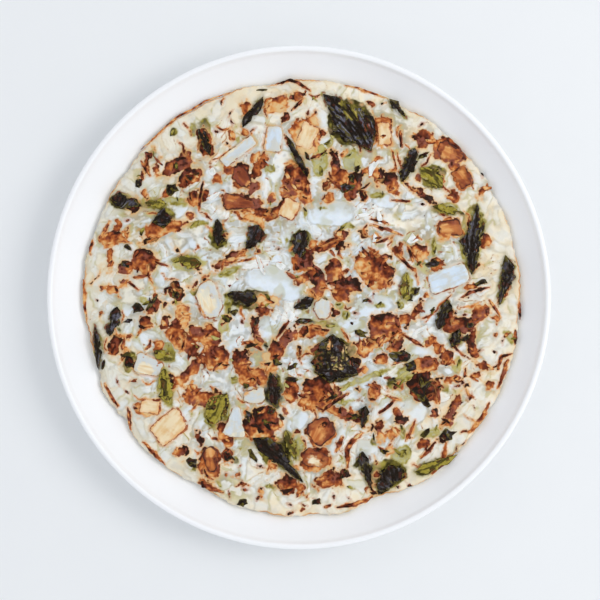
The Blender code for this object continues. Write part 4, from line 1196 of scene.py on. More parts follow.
@dataclass
class Batter:
    """The pancake itself: a fine sheet of batter over its CAD node, closed round its edge and below."""

    frame_nodes: dict[str, Object]
    cells_across: int = 300
    radius: float = 113.5
    wall_tone: float = 1.1
    passes: int = 4
    wide_passes: int = 120
    thin: float = 0.05
    pull: float = 0.997
    sink: float = 0.15
    pocket_rim: float = 0.9
    plain: float = -4.0
    walls: tuple[Point, ...] = ((0.3, 0.22), (0.7, 0.25), (1.0, 0.0), (1.0, -1.5))

    def build(self) -> Object:
        """Makes the piece.

        Returns:
            The dressed object, riding on the root body.
        """
        node = self.frame_nodes["pancake"]
        tree = surface_of(node)
        count = self.cells_across
        places = self._places(node)
        warp = Grain(31)
        drift = np.stack([warp.at(places, 4.5), warp.at(places + 77, 4.5)], axis=1) * 0.9
        drift += np.stack([warp.at(places + 13, 1.9), warp.at(places + 51, 1.9)], axis=1) * 0.35
        fields = self._fields(places, places + drift)
        heights = self._heights(tree, places, fields)
        points = [np.column_stack([places, heights])]
        index = np.arange(count * count).reshape(count, count)
        faces = np.stack([index[:-1, :-1], index[:-1, 1:], index[1:, 1:], index[1:, :-1]], axis=-1)
        rim = np.concatenate([index[0, :-1], index[:-1, -1], index[-1, :0:-1], index[:0:-1, 0]])
        made_faces = faces.reshape(-1, 4).tolist()
        ring = rim
        centre = plan(PANCAKE_AT)
        out = places[rim] - centre
        out /= np.linalg.norm(out, axis=1)[:, None]
        top = heights[rim]
        bottom = np.array([height_on(tree, spot, 1) for spot in places[rim] - out * 0.8])
        bottom = np.where(np.isnan(bottom), np.nanmean(bottom), bottom)
        for share, swell in self.walls:
            level = top + (bottom - top) * share
            points.append(np.column_stack([places[rim] + out * swell, level]))
            next_ring = np.arange(len(rim)) + sum(len(part) for part in points[:-1])
            following = np.roll(ring, -1), np.roll(next_ring, -1)
            made_faces += np.stack([ring, next_ring, following[1], following[0]], axis=-1).tolist()
            ring = next_ring
        under_middle = sum(len(part) for part in points)
        points.append(np.array([[*centre, height_on(tree, centre, 1)]]))
        made_faces += [[int(a), under_middle, int(b)] for a, b in zip(ring, np.roll(ring, -1), strict=True)]
        repeated = np.concatenate([np.arange(count * count), *[rim] * len(self.walls), rim[:1]])
        fields = {key: values[repeated] for key, values in fields.items()}
        fields["rim_in"][count * count:] = self.wall_tone
        for key in ("crust_in", "streak_in", "char_in", "herb_in", "by_leaf"):
            fields[key][count * count:] = self.plain
        obj = mesh_object("batter", np.concatenate(points), made_faces, fields)
        BatterFinish().dress(obj)
        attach(obj, "root")
        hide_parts("pancake")
        return obj

    def _places(self, node: Object) -> Array:
        """Spreads the grid evenly over the CAD node's ragged round.

        Args:
            node: the CAD node of the pancake.

        Returns:
            The grid's places in mm.
        """
        line = np.linspace(-1, 1, self.cells_across)
        u, v = np.meshgrid(line, line)
        flat = np.column_stack([(u * np.sqrt(1 - v * v / 2)).ravel(), (v * np.sqrt(1 - u * u / 2)).ravel()])
        centre = plan(PANCAKE_AT)
        seen = places_in(node)[:, :2] - centre
        away, angle = np.linalg.norm(seen, axis=1), np.arctan2(seen[:, 1], seen[:, 0])
        edge = away > self.radius - 5
        order = np.argsort(angle[edge])
        angles, reaches = angle[edge][order], away[edge][order]
        bins = np.linspace(-math.pi, math.pi, 151)
        outer = np.array([
            reaches[(angles >= low) & (angles <= high)].max(initial=self.radius - 6)
            for low, high in zip(bins[:-1] - 0.01, bins[1:] + 0.01, strict=True)
        ])
        middles = (bins[:-1] + bins[1:]) / 2
        turn = np.arctan2(flat[:, 1], flat[:, 0])
        reach = np.interp(turn, middles, outer, period=2 * math.pi)
        torn = Grain(5)
        spot = np.column_stack([np.cos(turn), np.sin(turn)]) * self.radius
        reach = reach - 0.5 + 0.55 * torn.at(spot, 3.5) + 0.3 * torn.at(spot + 9, 1.6)
        share = np.linalg.norm(flat, axis=1) ** 3
        return centre + flat * (self.radius * (1 - share) + reach * share)[:, None]

    def _fields(self, places: Array, warped: Array) -> dict[str, Array]:
        """Works out every number that the batter's finish reads.

        Args:
            places: the grid's places in mm.
            warped: the same places, shifted a little so that the patches' edges waver.

        Returns:
            The numbers by name.
        """
        specks = [Dab(spot, 3.4 + i % 4, 1.7 + i % 2 * 0.6, i * 40.0) for i, spot in enumerate(SPECKS)]
        tans, chars = Patchwork(warped, TANNED), Patchwork(warped, specks)
        herbs = Patchwork(warped, (*HERBS, *RandomFill(21).herbs(40)))
        crusts = Patchwork(warped, CRUSTS, 3.0)
        for dab in RandomFill(8).crusts(150):
            crusts.add_dab(dab, 2.6)
        stems = Patchwork(warped, RandomFill(3).cells(520), 3.2)
        for dab in (*RandomFill(5).strips(150), *CELLS):
            stems.lay_dab(dab, 3.4)
        streaks = Patchwork(warped)
        for stroke in (*STREAKS, *RandomFill(14).streaks(130)):
            streaks.add_stroke(stroke)
        away = np.linalg.norm(places - plan(PANCAKE_AT), axis=1)
        cool = (1 - 0.9 * smooth(away, 55, 110)) * smooth(Grain(4).at(places, 22.0), -0.7, 0.5)
        calm = smooth(away + 6 * Grain(6).at(places, 18.0), 88, 106)
        by_stem, by_leaf = self._beside(places, "stem_"), self._beside(places, "leaf_")
        line = np.linspace(-1, 1, self.cells_across)
        u, v = np.meshgrid(line, line)
        rim_in = (1 - np.maximum(np.abs(u), np.abs(v))).ravel() * self.radius
        return {
            "stem_in": stems.inside, "stem_cross": stems.cross, "stem_hue": stems.tone,
            "crust_in": crusts.inside, "crust_tone": crusts.tone, "crust_cross": crusts.cross, "calm": calm,
            "herb_in": herbs.inside, "herb_tone": herbs.tone,
            "streak_in": streaks.inside, "streak_tone": streaks.tone, "char_in": chars.inside, "cool": cool,
            "warm": smooth(away, 50, 112), "rim_in": rim_in, "by_stem": by_stem, "by_leaf": by_leaf,
            # The last field rises towards the left, where painted shade greys the batter.
            "tanned": smooth(tans.inside, -2.5, 5.0), "pallid": smooth(-places[:, 0], 10, 95),
        }

    def _beside(self, places: Array, start: str) -> Array:
        """Where places lie against the nearest node of a kind.

        Args:
            places: the places in mm.
            start: how the names of the nodes start.

        Returns:
            How far in mm each place is inside, and less than 0 outside.
        """
        inside = np.full(len(places), OUTSIDE)
        for name, node in self.frame_nodes.items():
            if name.startswith(start):
                outline = outline_of(node)
                low, high = outline.min(axis=0) - 4, outline.max(axis=0) + 4
                near = np.flatnonzero(((places > low) & (places < high)).all(axis=1))
                covered, distance = inside_outline(places[near], outline)
                inside[near] = np.maximum(inside[near], np.where(covered, distance, -distance))
        return inside

    def _heights(self, tree: BVHTree, places: Array, fields: dict[str, Array]) -> Array:
        """Works out the CAD form, smoothed over its pockets, with the fine relief on it.

        Args:
            tree: the CAD form.
            places: the grid's places in mm.
            fields: the numbers that the finish reads.

        Returns:
            The heights in mm.
        """
        centre = plan(PANCAKE_AT)
        pulled = centre + (places - centre) * self.pull
        base = np.array([height_on(tree, spot) for spot in pulled])
        known = ~np.isnan(base) & (fields["by_stem"] <= -self.pocket_rim)
        count = self.cells_across
        weight = known.astype(float).reshape(count, count)
        level = np.where(known, base, 0.0).reshape(count, count)
        total, share = (blurred(grid, self.passes) for grid in (level * weight, weight))
        wide_total, wide_share = (blurred(grid, self.wide_passes) for grid in (level * weight, weight))
        wide_level = wide_total / np.maximum(wide_share, 1e-6)
        heights = np.where(share > self.thin, total / np.maximum(share, self.thin), wide_level).ravel()
        lumps, wrinkles = Grain(41), Grain(42)
        away = np.linalg.norm(places - centre, axis=1)
        calm = 1 - 0.6 * smooth(away, 108, 114)
        stem = smooth(fields["stem_in"], -0.3, 0.7)
        crust = smooth(fields["crust_in"], -0.5, 0.6)
        herb = smooth(fields["herb_in"], -0.3, 0.5)
        streak = smooth(fields["streak_in"], -0.4, 0.3)
        crag = 1 - np.abs(wrinkles.at(places, 2.6)) * 2
        relief = 0.3 * lumps.at(places, 3.8) + 0.08 * lumps.at(places + 5, 1.9)
        stem_relief = 0.3 * fields["stem_hue"] + 0.1 + 0.05 * fields["stem_cross"]
        relief += stem * stem_relief * (1 - 0.3 * fields["calm"])
        relief = blurred(relief.reshape(count, count), 5).ravel()
        relief += crust * (0.3 + 0.3 * crag * smooth(fields["crust_tone"], 0.2, 0.6))
        relief += herb * (0.15 + 0.25 * crag)
        relief += streak * 0.3 + smooth(fields["char_in"], -0.3, 0.3) * 0.25
        return heights + relief * calm - self.sink


@dataclass
class Heap:
    """Many small closed forms gathered into one mesh."""

    name: str
    points: list[Array] = field(default_factory=list)
    faces: list[list[int]] = field(default_factory=list)
    fields: dict[str, list[Array]] = field(default_factory=dict)
    size: int = 0

    def add(self, points: Array, faces: Sequence[Sequence[int]], fields: dict[str, Array | float]) -> None:
        """Adds one form.

        Args:
            points: its points in mm.
            faces: its faces.
            fields: numbers at its points, by name, or one number for them all.
        """
        self.points.append(points)
        self.faces += [[corner + self.size for corner in face] for face in faces]
        for key, values in fields.items():
            self.fields.setdefault(key, []).append(np.broadcast_to(values, len(points)))
        self.size += len(points)

    def finish(self) -> Object:
        """Makes one mesh of all the forms."""
        fields = {key: np.concatenate(parts) for key, parts in self.fields.items()}
        return mesh_object(self.name, np.concatenate(self.points), self.faces, fields)


@dataclass(frozen=True)
class StemLook:
    """How a stem lies: how much of its finish's first heart colour it has, and patches of another colour."""

    shade: float = 0.5
    patches: tuple[Dab, ...] = ()


STEM_LOOKS = {
    "stem_white_1": StemLook(1.0),
    "stem_white_2": StemLook(0.35, dabs((207, 301, 26, 15, -62, 50), (201, 309, 20, 3, -62, 95))),
    "stem_white_3": StemLook(0.3, dabs((145, 369, 18, 12, -20, 55), (143, 374, 18, 3, -14, 85))),
    "stem_white_4": StemLook(0.9, dabs((265, 139, 26, 4, 84, 85))),
    "stem_white_5": StemLook(0.5, dabs((230, 151, 30, 3, 38, 60))),
    "stem_white_6": StemLook(0.1, dabs((246, 393, 12, 3, 40, 85))),
    "stem_white_7": StemLook(0.6, dabs((240, 435, 20, 6, 10, 42))),
    "stem_white_8": StemLook(0.1, dabs((331, 308, 20, 3, 75, 90))),
    "stem_brown_1": StemLook(
        0.4, dabs((317, 435, 17, 12, 30, 48), (329, 424, 20, 8, -40, 86), (308, 440, 6, 14, 30, 90)),
    ),
    "stem_brown_2": StemLook(
        0.3, dabs((314, 461, 13, 8, -24, 10), (322, 461, 5, 4, 0, 95), (315, 451, 22, 5, 0, 88)),
    ),
    "stem_brown_3": StemLook(0.1, dabs((210, 453, 10, 9, 0, 40), (217, 463, 7, 14, 20, 98))),
    "stem_brown_4": StemLook(0.3, dabs((446, 229, 12, 10, 0, 45))),
    "stem_brown_5": StemLook(0.2, dabs((461, 175, 10, 9, -30, 50), (469, 181, 5, 12, 30, 85))),
    "stem_brown_6": StemLook(
        0.3, dabs((447, 152, 9, 12, -20, 42), (459, 150, 8, 12, 10, 82), (441, 146, 7, 8, 0, 70)),
    ),
    "stem_brown_7": StemLook(
        0.8, dabs((233, 197, 12, 8, 20, 50), (245, 203, 16, 8, -6, 80), (228, 207, 9, 4, 0, 60)),
    ),
    "stem_brown_8": StemLook(1.0, dabs((242, 176, 14, 9, -50, 84), (249, 184, 6, 7, 0, 50))),
}


@dataclass
class Toppings:
    """Finely modelled toppings of one finish, each over its CAD node."""

    kind: str
    finish: StemFinish | LeafFinish
    part: str = "topping"
    parts: str = "toppings"

    def build(self, nodes: dict[str, Object]) -> Object:
        """Makes one piece of all the nodes of this kind.

        Args:
            nodes: the CAD nodes by name.

        Returns:
            The dressed object.
        """
        heap = Heap(f"{self.parts}_{self.kind}")
        chosen = sorted(name for name in nodes if name.startswith(f"{self.part}_{self.kind}_"))
        for index, name in enumerate(chosen):
            self.add(heap, nodes[name], index)
        obj = heap.finish()
        self.finish.dress(obj)
        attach(obj, "root")
        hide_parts(*chosen)
        return obj

    def add(self, heap: Heap, node: Object, index: int) -> None:
        """Adds one topping; stems and leaves each have their own way."""
        raise NotImplementedError


@dataclass
class Stems(Toppings):
    """Chopped stems: rounded, fibrous, slightly dished blocks."""

    part: str = "stem"
    parts: str = "stems"
    sides: int = 44
    rings: tuple[float, ...] = (0.0, 0.12, 0.25, 0.38, 0.5, 0.6, 0.7, 0.79, 0.87, 0.93, 0.975, 1.0)
    wall: tuple[float, ...] = (0.35, 0.7, 1.0)
    shoulder: float = 0.86
    rounding: float = 0.55
    rough: float = 1.0
    seed: int = 70

    def add(self, heap: Heap, node: Object, index: int) -> None:
        """Adds one stem.

        Args:
            heap: the mesh that it joins.
            node: its CAD node.
            index: its number in the mesh.
        """
        corners = places_in(node)
        low, high = corners[:, 2].min(), corners[:, 2].max()
        outer = corners[np.abs(corners[:, 2] - low) < 0.05][:, :2]
        middle = outer.mean(axis=0)
        spread = outer - middle
        _, axes = np.linalg.eigh(spread.T @ spread)
        long_way = axes[:, 1]
        order = np.argsort(np.arctan2(spread[:, 1], spread[:, 0]))
        outline = resampled(outer[order], self.sides)
        grain = Grain(self.seed + index)
        uneven = self.rough * (0.05 * grain.at(outline, 3.4) + 0.03 * grain.at(outline, 1.4))
        outline = outline + (outline - middle) * uneven[:, None]
        points = [np.array([[*middle, high]])]
        for share in self.rings[1:]:
            ring = middle + (outline - middle) * share
            past = max(0.0, (share - self.shoulder) / (1 - self.shoulder))
            drop = (1 - math.sqrt(max(0.0, 1 - past**2))) * self.rounding
            points.append(np.column_stack([ring, np.full(self.sides, high - drop)]))
        for level in self.wall:
            depth = high - self.rounding - level * (high - self.rounding - low)
            points.append(np.column_stack([outline, np.full(self.sides, depth)]))
        points.append(np.array([[*middle, low]]))
        merged = np.concatenate(points)
        flat = merged[:, :2]
        across = (flat - middle) @ np.array([-long_way[1], long_way[0]])
        along = (flat - middle) @ long_way
        drawn = np.column_stack([across, along * 0.2])
        dished = grain.at(flat, 7.0) * 0.4 + grain.at(flat, 2.6) * 0.12 + grain.at(drawn, 1.3) * 0.12
        upper = merged[:, 2] > high - self.rounding - 0.01
        merged[:, 2] += np.where(upper, dished - 0.1 + 0.01 * along, 0.0)
        distance = inside_outline(flat, outline)[1]
        distance[len(merged) - self.sides * len(self.wall) - 1:] = 0
        faces = stacked_faces(self.sides, len(self.rings) - 1 + len(self.wall))
        look = STEM_LOOKS.get(node.name, StemLook())
        patches = Patchwork(flat, look.patches, 2.4)
        fields = {"edge_in": distance, "across": across, "along": along * 0.2, "lot": 11.0 * index}
        fields |= {"patch_in": patches.inside, "patch_tone": patches.tone, "shade": look.shade}
        heap.add(merged, faces, fields)


def resampled(outline: Array, count: int) -> Array:
    """Cuts a closed outline into equal steps.

    Args:
        outline: its points.
        count: how many steps.

    Returns:
        The new points.
    """
    closed = np.vstack([outline, outline[:1]])
    run = np.concatenate([[0], np.cumsum(np.linalg.norm(np.diff(closed, axis=0), axis=1))])
    at = np.linspace(0, run[-1], count, endpoint=False)
    return np.column_stack([np.interp(at, run, closed[:, axis]) for axis in (0, 1)])


def stacked_faces(sides: int, rings: int) -> list[list[int]]:
    """Faces of a form made of a first point, rings of points, and a last point.

    Args:
        sides: points in a ring.
        rings: how many rings.

    Returns:
        The faces.
    """
    faces = [[0, 1 + side, 1 + (side + 1) % sides] for side in range(sides)]
    for ring in range(rings - 1):
        for side in range(sides):
            start = 1 + ring * sides
            following = (side + 1) % sides
            faces.append([start + side, start + sides + side, start + sides + following, start + following])
    start, last = 1 + (rings - 1) * sides, 1 + rings * sides
    faces += [[start + side, last, start + (side + 1) % sides] for side in range(sides)]
    return faces


@dataclass(frozen=True)
class LeafLook:
    """How a leaf lies: the end that its folds run to, how much painted slate sheen it has, how drawn out its
    folds are, and patches of another colour."""

    stalk: Point | None = None
    # How much painted slate sheen the crests take.
    slate: float = 0.25
    drawn: float = 0.4
    patches: tuple[Dab, ...] = ()


CREASED_PATCHES = dabs(
    (317, 358, 11, 26, 8, 95), (330, 345, 5, 8, 0, 15), (345, 353, 7, 18, -8, 30),
    (338, 366, 11, 7, 0, 38), (362, 374, 8, 6, 0, 97), (334, 358, 6, 5, 0, 30),
    (318, 357, 5, 4, 0, 20), (352, 362, 6, 5, 0, 95), (343, 338, 9, 4, -30, 50),
)
LEAF_LOOKS = {
    "leaf_dark_1": LeafLook(
        (371, 151), 1.0, 0.34, dabs((349, 109, 24, 14, -60, 62), (367, 124, 12, 6, -80, 96)),
    ),
    "leaf_dark_2": LeafLook((472, 275), 0.7, 0.4, dabs((484, 222, 9, 24, -4, 60))),
    "leaf_dark_3": LeafLook((500, 306), 0.6, 0.4),
    "leaf_dark_4": LeafLook(None, 0.9, 0.3),
    "leaf_dark_5": LeafLook(None, 0.8, 0.3),
    "leaf_dark_6": LeafLook((120, 208), 0.7, 0.3),
    "leaf_dark_7": LeafLook(None, 0.6, 0.3),
    "leaf_dark_10": LeafLook((407, 118), 0.3, 0.2),
    "leaf_dark_12": LeafLook((402, 182), 0.6, 0.4),
    "leaf_dark_14": LeafLook(None, 0.8, 0.3),
    "leaf_dark_15": LeafLook(None, 0.5, 0.3),
    "leaf_dark_17": LeafLook(None, 0.8, 0.3),
    "leaf_dark_20": LeafLook(None, 0.5, 1.0, CREASED_PATCHES),
    "leaf_dark_22": LeafLook((304, 483), 0.3, 0.25),
    "leaf_dark_25": LeafLook((395, 488), 0.4, 0.4),
}


@dataclass
class Leaves(Toppings):
    """Crumpled leaves with torn edges and folds that run to their stalks."""

    part: str = "leaf"
    parts: str = "leaves"
    cuts: int = 6
    seed: int = 90

    def add(self, heap: Heap, node: Object, index: int) -> None:
        """Adds one leaf: its CAD sheet cut finely, crumpled and torn.

        Args:
            heap: the mesh that it joins.
            node: its CAD node.
            index: its number in the mesh.
        """
        shaped = bmesh.new()
        shaped.from_mesh(node.data)
        bmesh.ops.remove_doubles(shaped, verts=shaped.verts, dist=1e-6)
        bmesh.ops.triangulate(shaped, faces=shaped.faces)
        flat_faces = [face for face in shaped.faces if abs(face.normal.z) > 0.15]
        edges = list({edge for face in flat_faces for edge in face.edges})
        bmesh.ops.subdivide_edges(shaped, edges=edges, cuts=self.cuts, use_grid_fill=True)
        bmesh.ops.triangulate(shaped, faces=shaped.faces)
        bmesh.ops.smooth_vert(shaped, verts=shaped.verts, factor=0.5, use_axis_z=True)
        shaped.normal_update()
        points = np.array([(node.matrix_world @ vertex.co)[:] for vertex in shaped.verts]) / MM
        upper = np.array([vertex.normal.z for vertex in shaped.verts]) > 0
        faces = [[vertex.index for vertex in face.verts] for face in shaped.faces]
        shaped.free()
        flat = points[:, :2].copy()
        outline = outline_of(node)
        distance = inside_outline(flat, outline)[1]
        grain = Grain(self.seed + index)
        middle = outline.mean(axis=0)
        look = LEAF_LOOKS.get(node.name, LeafLook())
        stalk = self._stalk(look, outline)
        way = middle - stalk
        length = 2 * np.linalg.norm(way)
        way /= np.linalg.norm(way)
        along = (flat - stalk) @ way
        spread = 0.35 + 0.9 * np.clip(along / length, 0, 1)
        across = (flat - stalk) @ np.array([-way[1], way[0]]) / spread
        drawn = np.column_stack([across, along * look.drawn])
        crease = np.clip(1 - 3.6 * np.abs(grain.at(drawn + 50, 5.0)), 0, 1)
        pleat = np.clip(1 - 3.6 * np.abs(grain.at(drawn - 50, 2.8)), 0, 1)
        near_edge = smooth(-distance, -2.2, 0.0)
        notch = np.clip(1 - 4 * np.abs(grain.at(flat + 30, 4.4)), 0, 1)
        inward = middle - flat
        inward /= np.maximum(np.linalg.norm(inward, axis=1), 0.5)[:, None]
        torn = 0.15 + 0.8 * grain.at(flat, 2.6) + 0.4 * grain.at(flat, 1.0) + 1.9 * notch
        points[:, :2] += inward * (near_edge * np.maximum(torn, -0.7) * 0.85)[:, None]
        points[:, :2] += np.column_stack([grain.at(flat + 9, 3.0), grain.at(flat + 21, 3.0)]) * 0.25
        points[:, 2] += 0.35 - 0.8 * crease - 0.35 * pleat + 0.35 * grain.at(flat + 60, 5.0)
        points[:, 2] -= np.where(upper, near_edge * 0.35, 0.0)
        fields = {"edge_in": distance, "fold": np.clip(crease + 0.5 * pleat, 0, 1)}
        # How much painted slate sheen the leaf's crests take.
        fields |= {"across": across, "along": along * look.drawn, "lot": 7.0 * index, "slate": look.slate}
        patches = Patchwork(flat, look.patches, 2.4)
        fields |= {"patch_in": patches.inside, "patch_tone": patches.tone}
        heap.add(points, faces, fields)

    def _stalk(self, look: LeafLook, outline: Array) -> Array:
        """The end of a leaf that its folds run to, in mm: its own, or else its farthest corner."""
        away = np.linalg.norm(outline - outline.mean(axis=0), axis=1)
        return outline[int(away.argmax())] if look.stalk is None else plan(look.stalk)


@dataclass
class Scraps:
    """Small raised forms strewn on the batter, all in one mesh."""

    heap: Heap
    batter: BVHTree
    sink: float = 0.5
    steps: tuple[Point, ...] = ((0.4, 1.0), (0.75, 0.9), (0.95, 0.6), (1.03, 0.1), (1.0, 0.0))

    def flake(self, dab: Dab, height: float, sides: int = 14, torn: bool = False, rough: float = 0.4) -> None:
        """Adds a ragged flake with a craggy top.

        Args:
            dab: its place, size, turn and tone.
            height: how far it stands up in mm.
            sides: points round its edge.
            torn: whether its edge is torn, with deeper notches.
            rough: how lumpy its top is, of its own and by the batter below.
        """
        middle = plan(dab.at)
        least = min(dab.length, dab.width)
        dice = np.random.default_rng(int(middle[0] * 71 + middle[1] * 37) % (1 << 30))
        long_way, wide_way = directions(math.radians(dab.turn))
        corners = int(dice.integers(5, 9)) + torn * 3
        angles = (np.arange(corners) + dice.uniform(-0.3, 0.3, corners)) * 2 * math.pi / corners
        ragged = dice.uniform(0.72 - 0.27 * torn, 1.12 + 0.13 * torn, corners)
        along = np.cos(angles) * dab.length * PLAN_SCALE / 2 * ragged
        across = np.sin(angles) * dab.width * PLAN_SCALE / 2 * ragged
        across = across + dab.bend * dab.length * PLAN_SCALE / 2 * (np.cos(angles) ** 2 - 0.4)
        outline = resampled(middle + along[:, None] * long_way + across[:, None] * wide_way, sides)
        ground = height_on(self.batter, middle)
        if math.isnan(ground):
            return
        tilt = dice.uniform(-0.12, 0.12, 2)
        grain = Grain(int(dice.integers(1 << 20)))
        points = [np.array([[*middle, ground + height]])]
        distances = [np.array([least * PLAN_SCALE / 2])]
        for share, level in self.steps:
            ring = middle + (outline - middle) * share
            under = np.array([height_on(self.batter, spot) for spot in ring])
            under = np.where(np.isnan(under), ground, under)
            base = ground + (under - ground) * rough * 1.25 if share < 0.9 else under
            lift = height * level * (1 + rough * grain.at(ring, 2.4)) + (ring - middle) @ tilt * (level > 0)
            level_at = base + np.maximum(lift, 0.05) if level > 0 else under - self.sink
            points.append(np.column_stack([ring, level_at]))
            distances.append(np.full(sides, max(0.0, 1 - share) * least * PLAN_SCALE / 2))
        points.append(np.array([[*middle, ground - self.sink]]))
        distances.append(np.zeros(1))
        merged = np.concatenate(points)
        fields = {
            "edge_in": np.concatenate(distances),
            "tone": dab.tone,
            "across": (merged[:, :2] - middle) @ wide_way,
            "along": (merged[:, :2] - middle) @ long_way * 0.35,
            "lot": float(dice.integers(200)),
            "fold": np.clip(0.4 + 0.7 * grain.at(merged[:, :2], 1.5), 0, 1),
            # How much painted slate sheen the crests take; only the leaf scraps' finish reads it.
            "slate": float(dice.choice([0.05, 0.2, 0.7])),
            "patch_in": OUTSIDE,
            "shade": 0.5,
        }
        self.heap.add(merged, stacked_faces(sides, len(self.steps)), fields)

    def strand(self, stroke: Stroke, height: float, sides: int = 6) -> None:
        """Adds a thin curled strand that follows a line.

        Args:
            stroke: its line, width and tone.
            height: how far it stands up in mm.
            sides: corners round its section.
        """
        line = np.array([plan(at) for at in stroke.points])
        run = np.concatenate([[0], np.cumsum(np.linalg.norm(np.diff(line, axis=0), axis=1))])
        stations = max(5, int(run[-1] / 0.9))
        at = np.linspace(0, run[-1], stations)
        line = np.column_stack([np.interp(at, run, line[:, axis]) for axis in (0, 1)])
        grain = Grain(int(line[0, 0] * 31 + line[0, 1] * 17) % 9973 + 1)
        line[1:-1] = (line[:-2] + 2 * line[1:-1] + line[2:]) / 4
        line = line + np.column_stack([grain.at(line, 3.0), grain.at(line + 40, 3.0)]) * 0.25
        ways = np.gradient(line, axis=0)
        ways /= np.maximum(np.linalg.norm(ways, axis=1), 1e-6)[:, None]
        sidewards = np.column_stack([-ways[:, 1], ways[:, 0]])
        share = np.linspace(0, 1, stations)
        half = stroke.width * PLAN_SCALE / 2 * (0.3 + 0.7 * np.sin(math.pi * np.clip(share, 0.03, 0.97)))
        half = half * (1 + 0.25 * grain.at(line, 1.1))
        ground = np.array([height_on(self.batter, spot) for spot in line])
        if np.isnan(ground).all():
            return
        ground = np.where(np.isnan(ground), np.nanmean(ground), ground)
        points = [np.array([[*line[0], ground[0]]])]
        for station in range(stations):
            for side in range(sides):
                angle = 2 * math.pi * side / sides
                out = sidewards[station] * half[station] * math.cos(angle)
                up = height * (0.35 + 0.65 * math.sin(angle))
                up = up * (0.5 + 0.5 * math.sin(math.pi * share[station]))
                points.append(np.array([[*(line[station] + out), ground[station] + up]]))
        points.append(np.array([[*line[-1], ground[-1]]]))
        merged = np.concatenate(points)
        shade = np.repeat(stroke.tone + 0.12 - 0.28 * np.abs(share - 0.5) * 2, sides)
        tone = np.concatenate([shade[:1], shade, shade[-1:]])
        self.heap.add(merged, stacked_faces(sides, stations), {"edge_in": 0.3, "tone": tone})


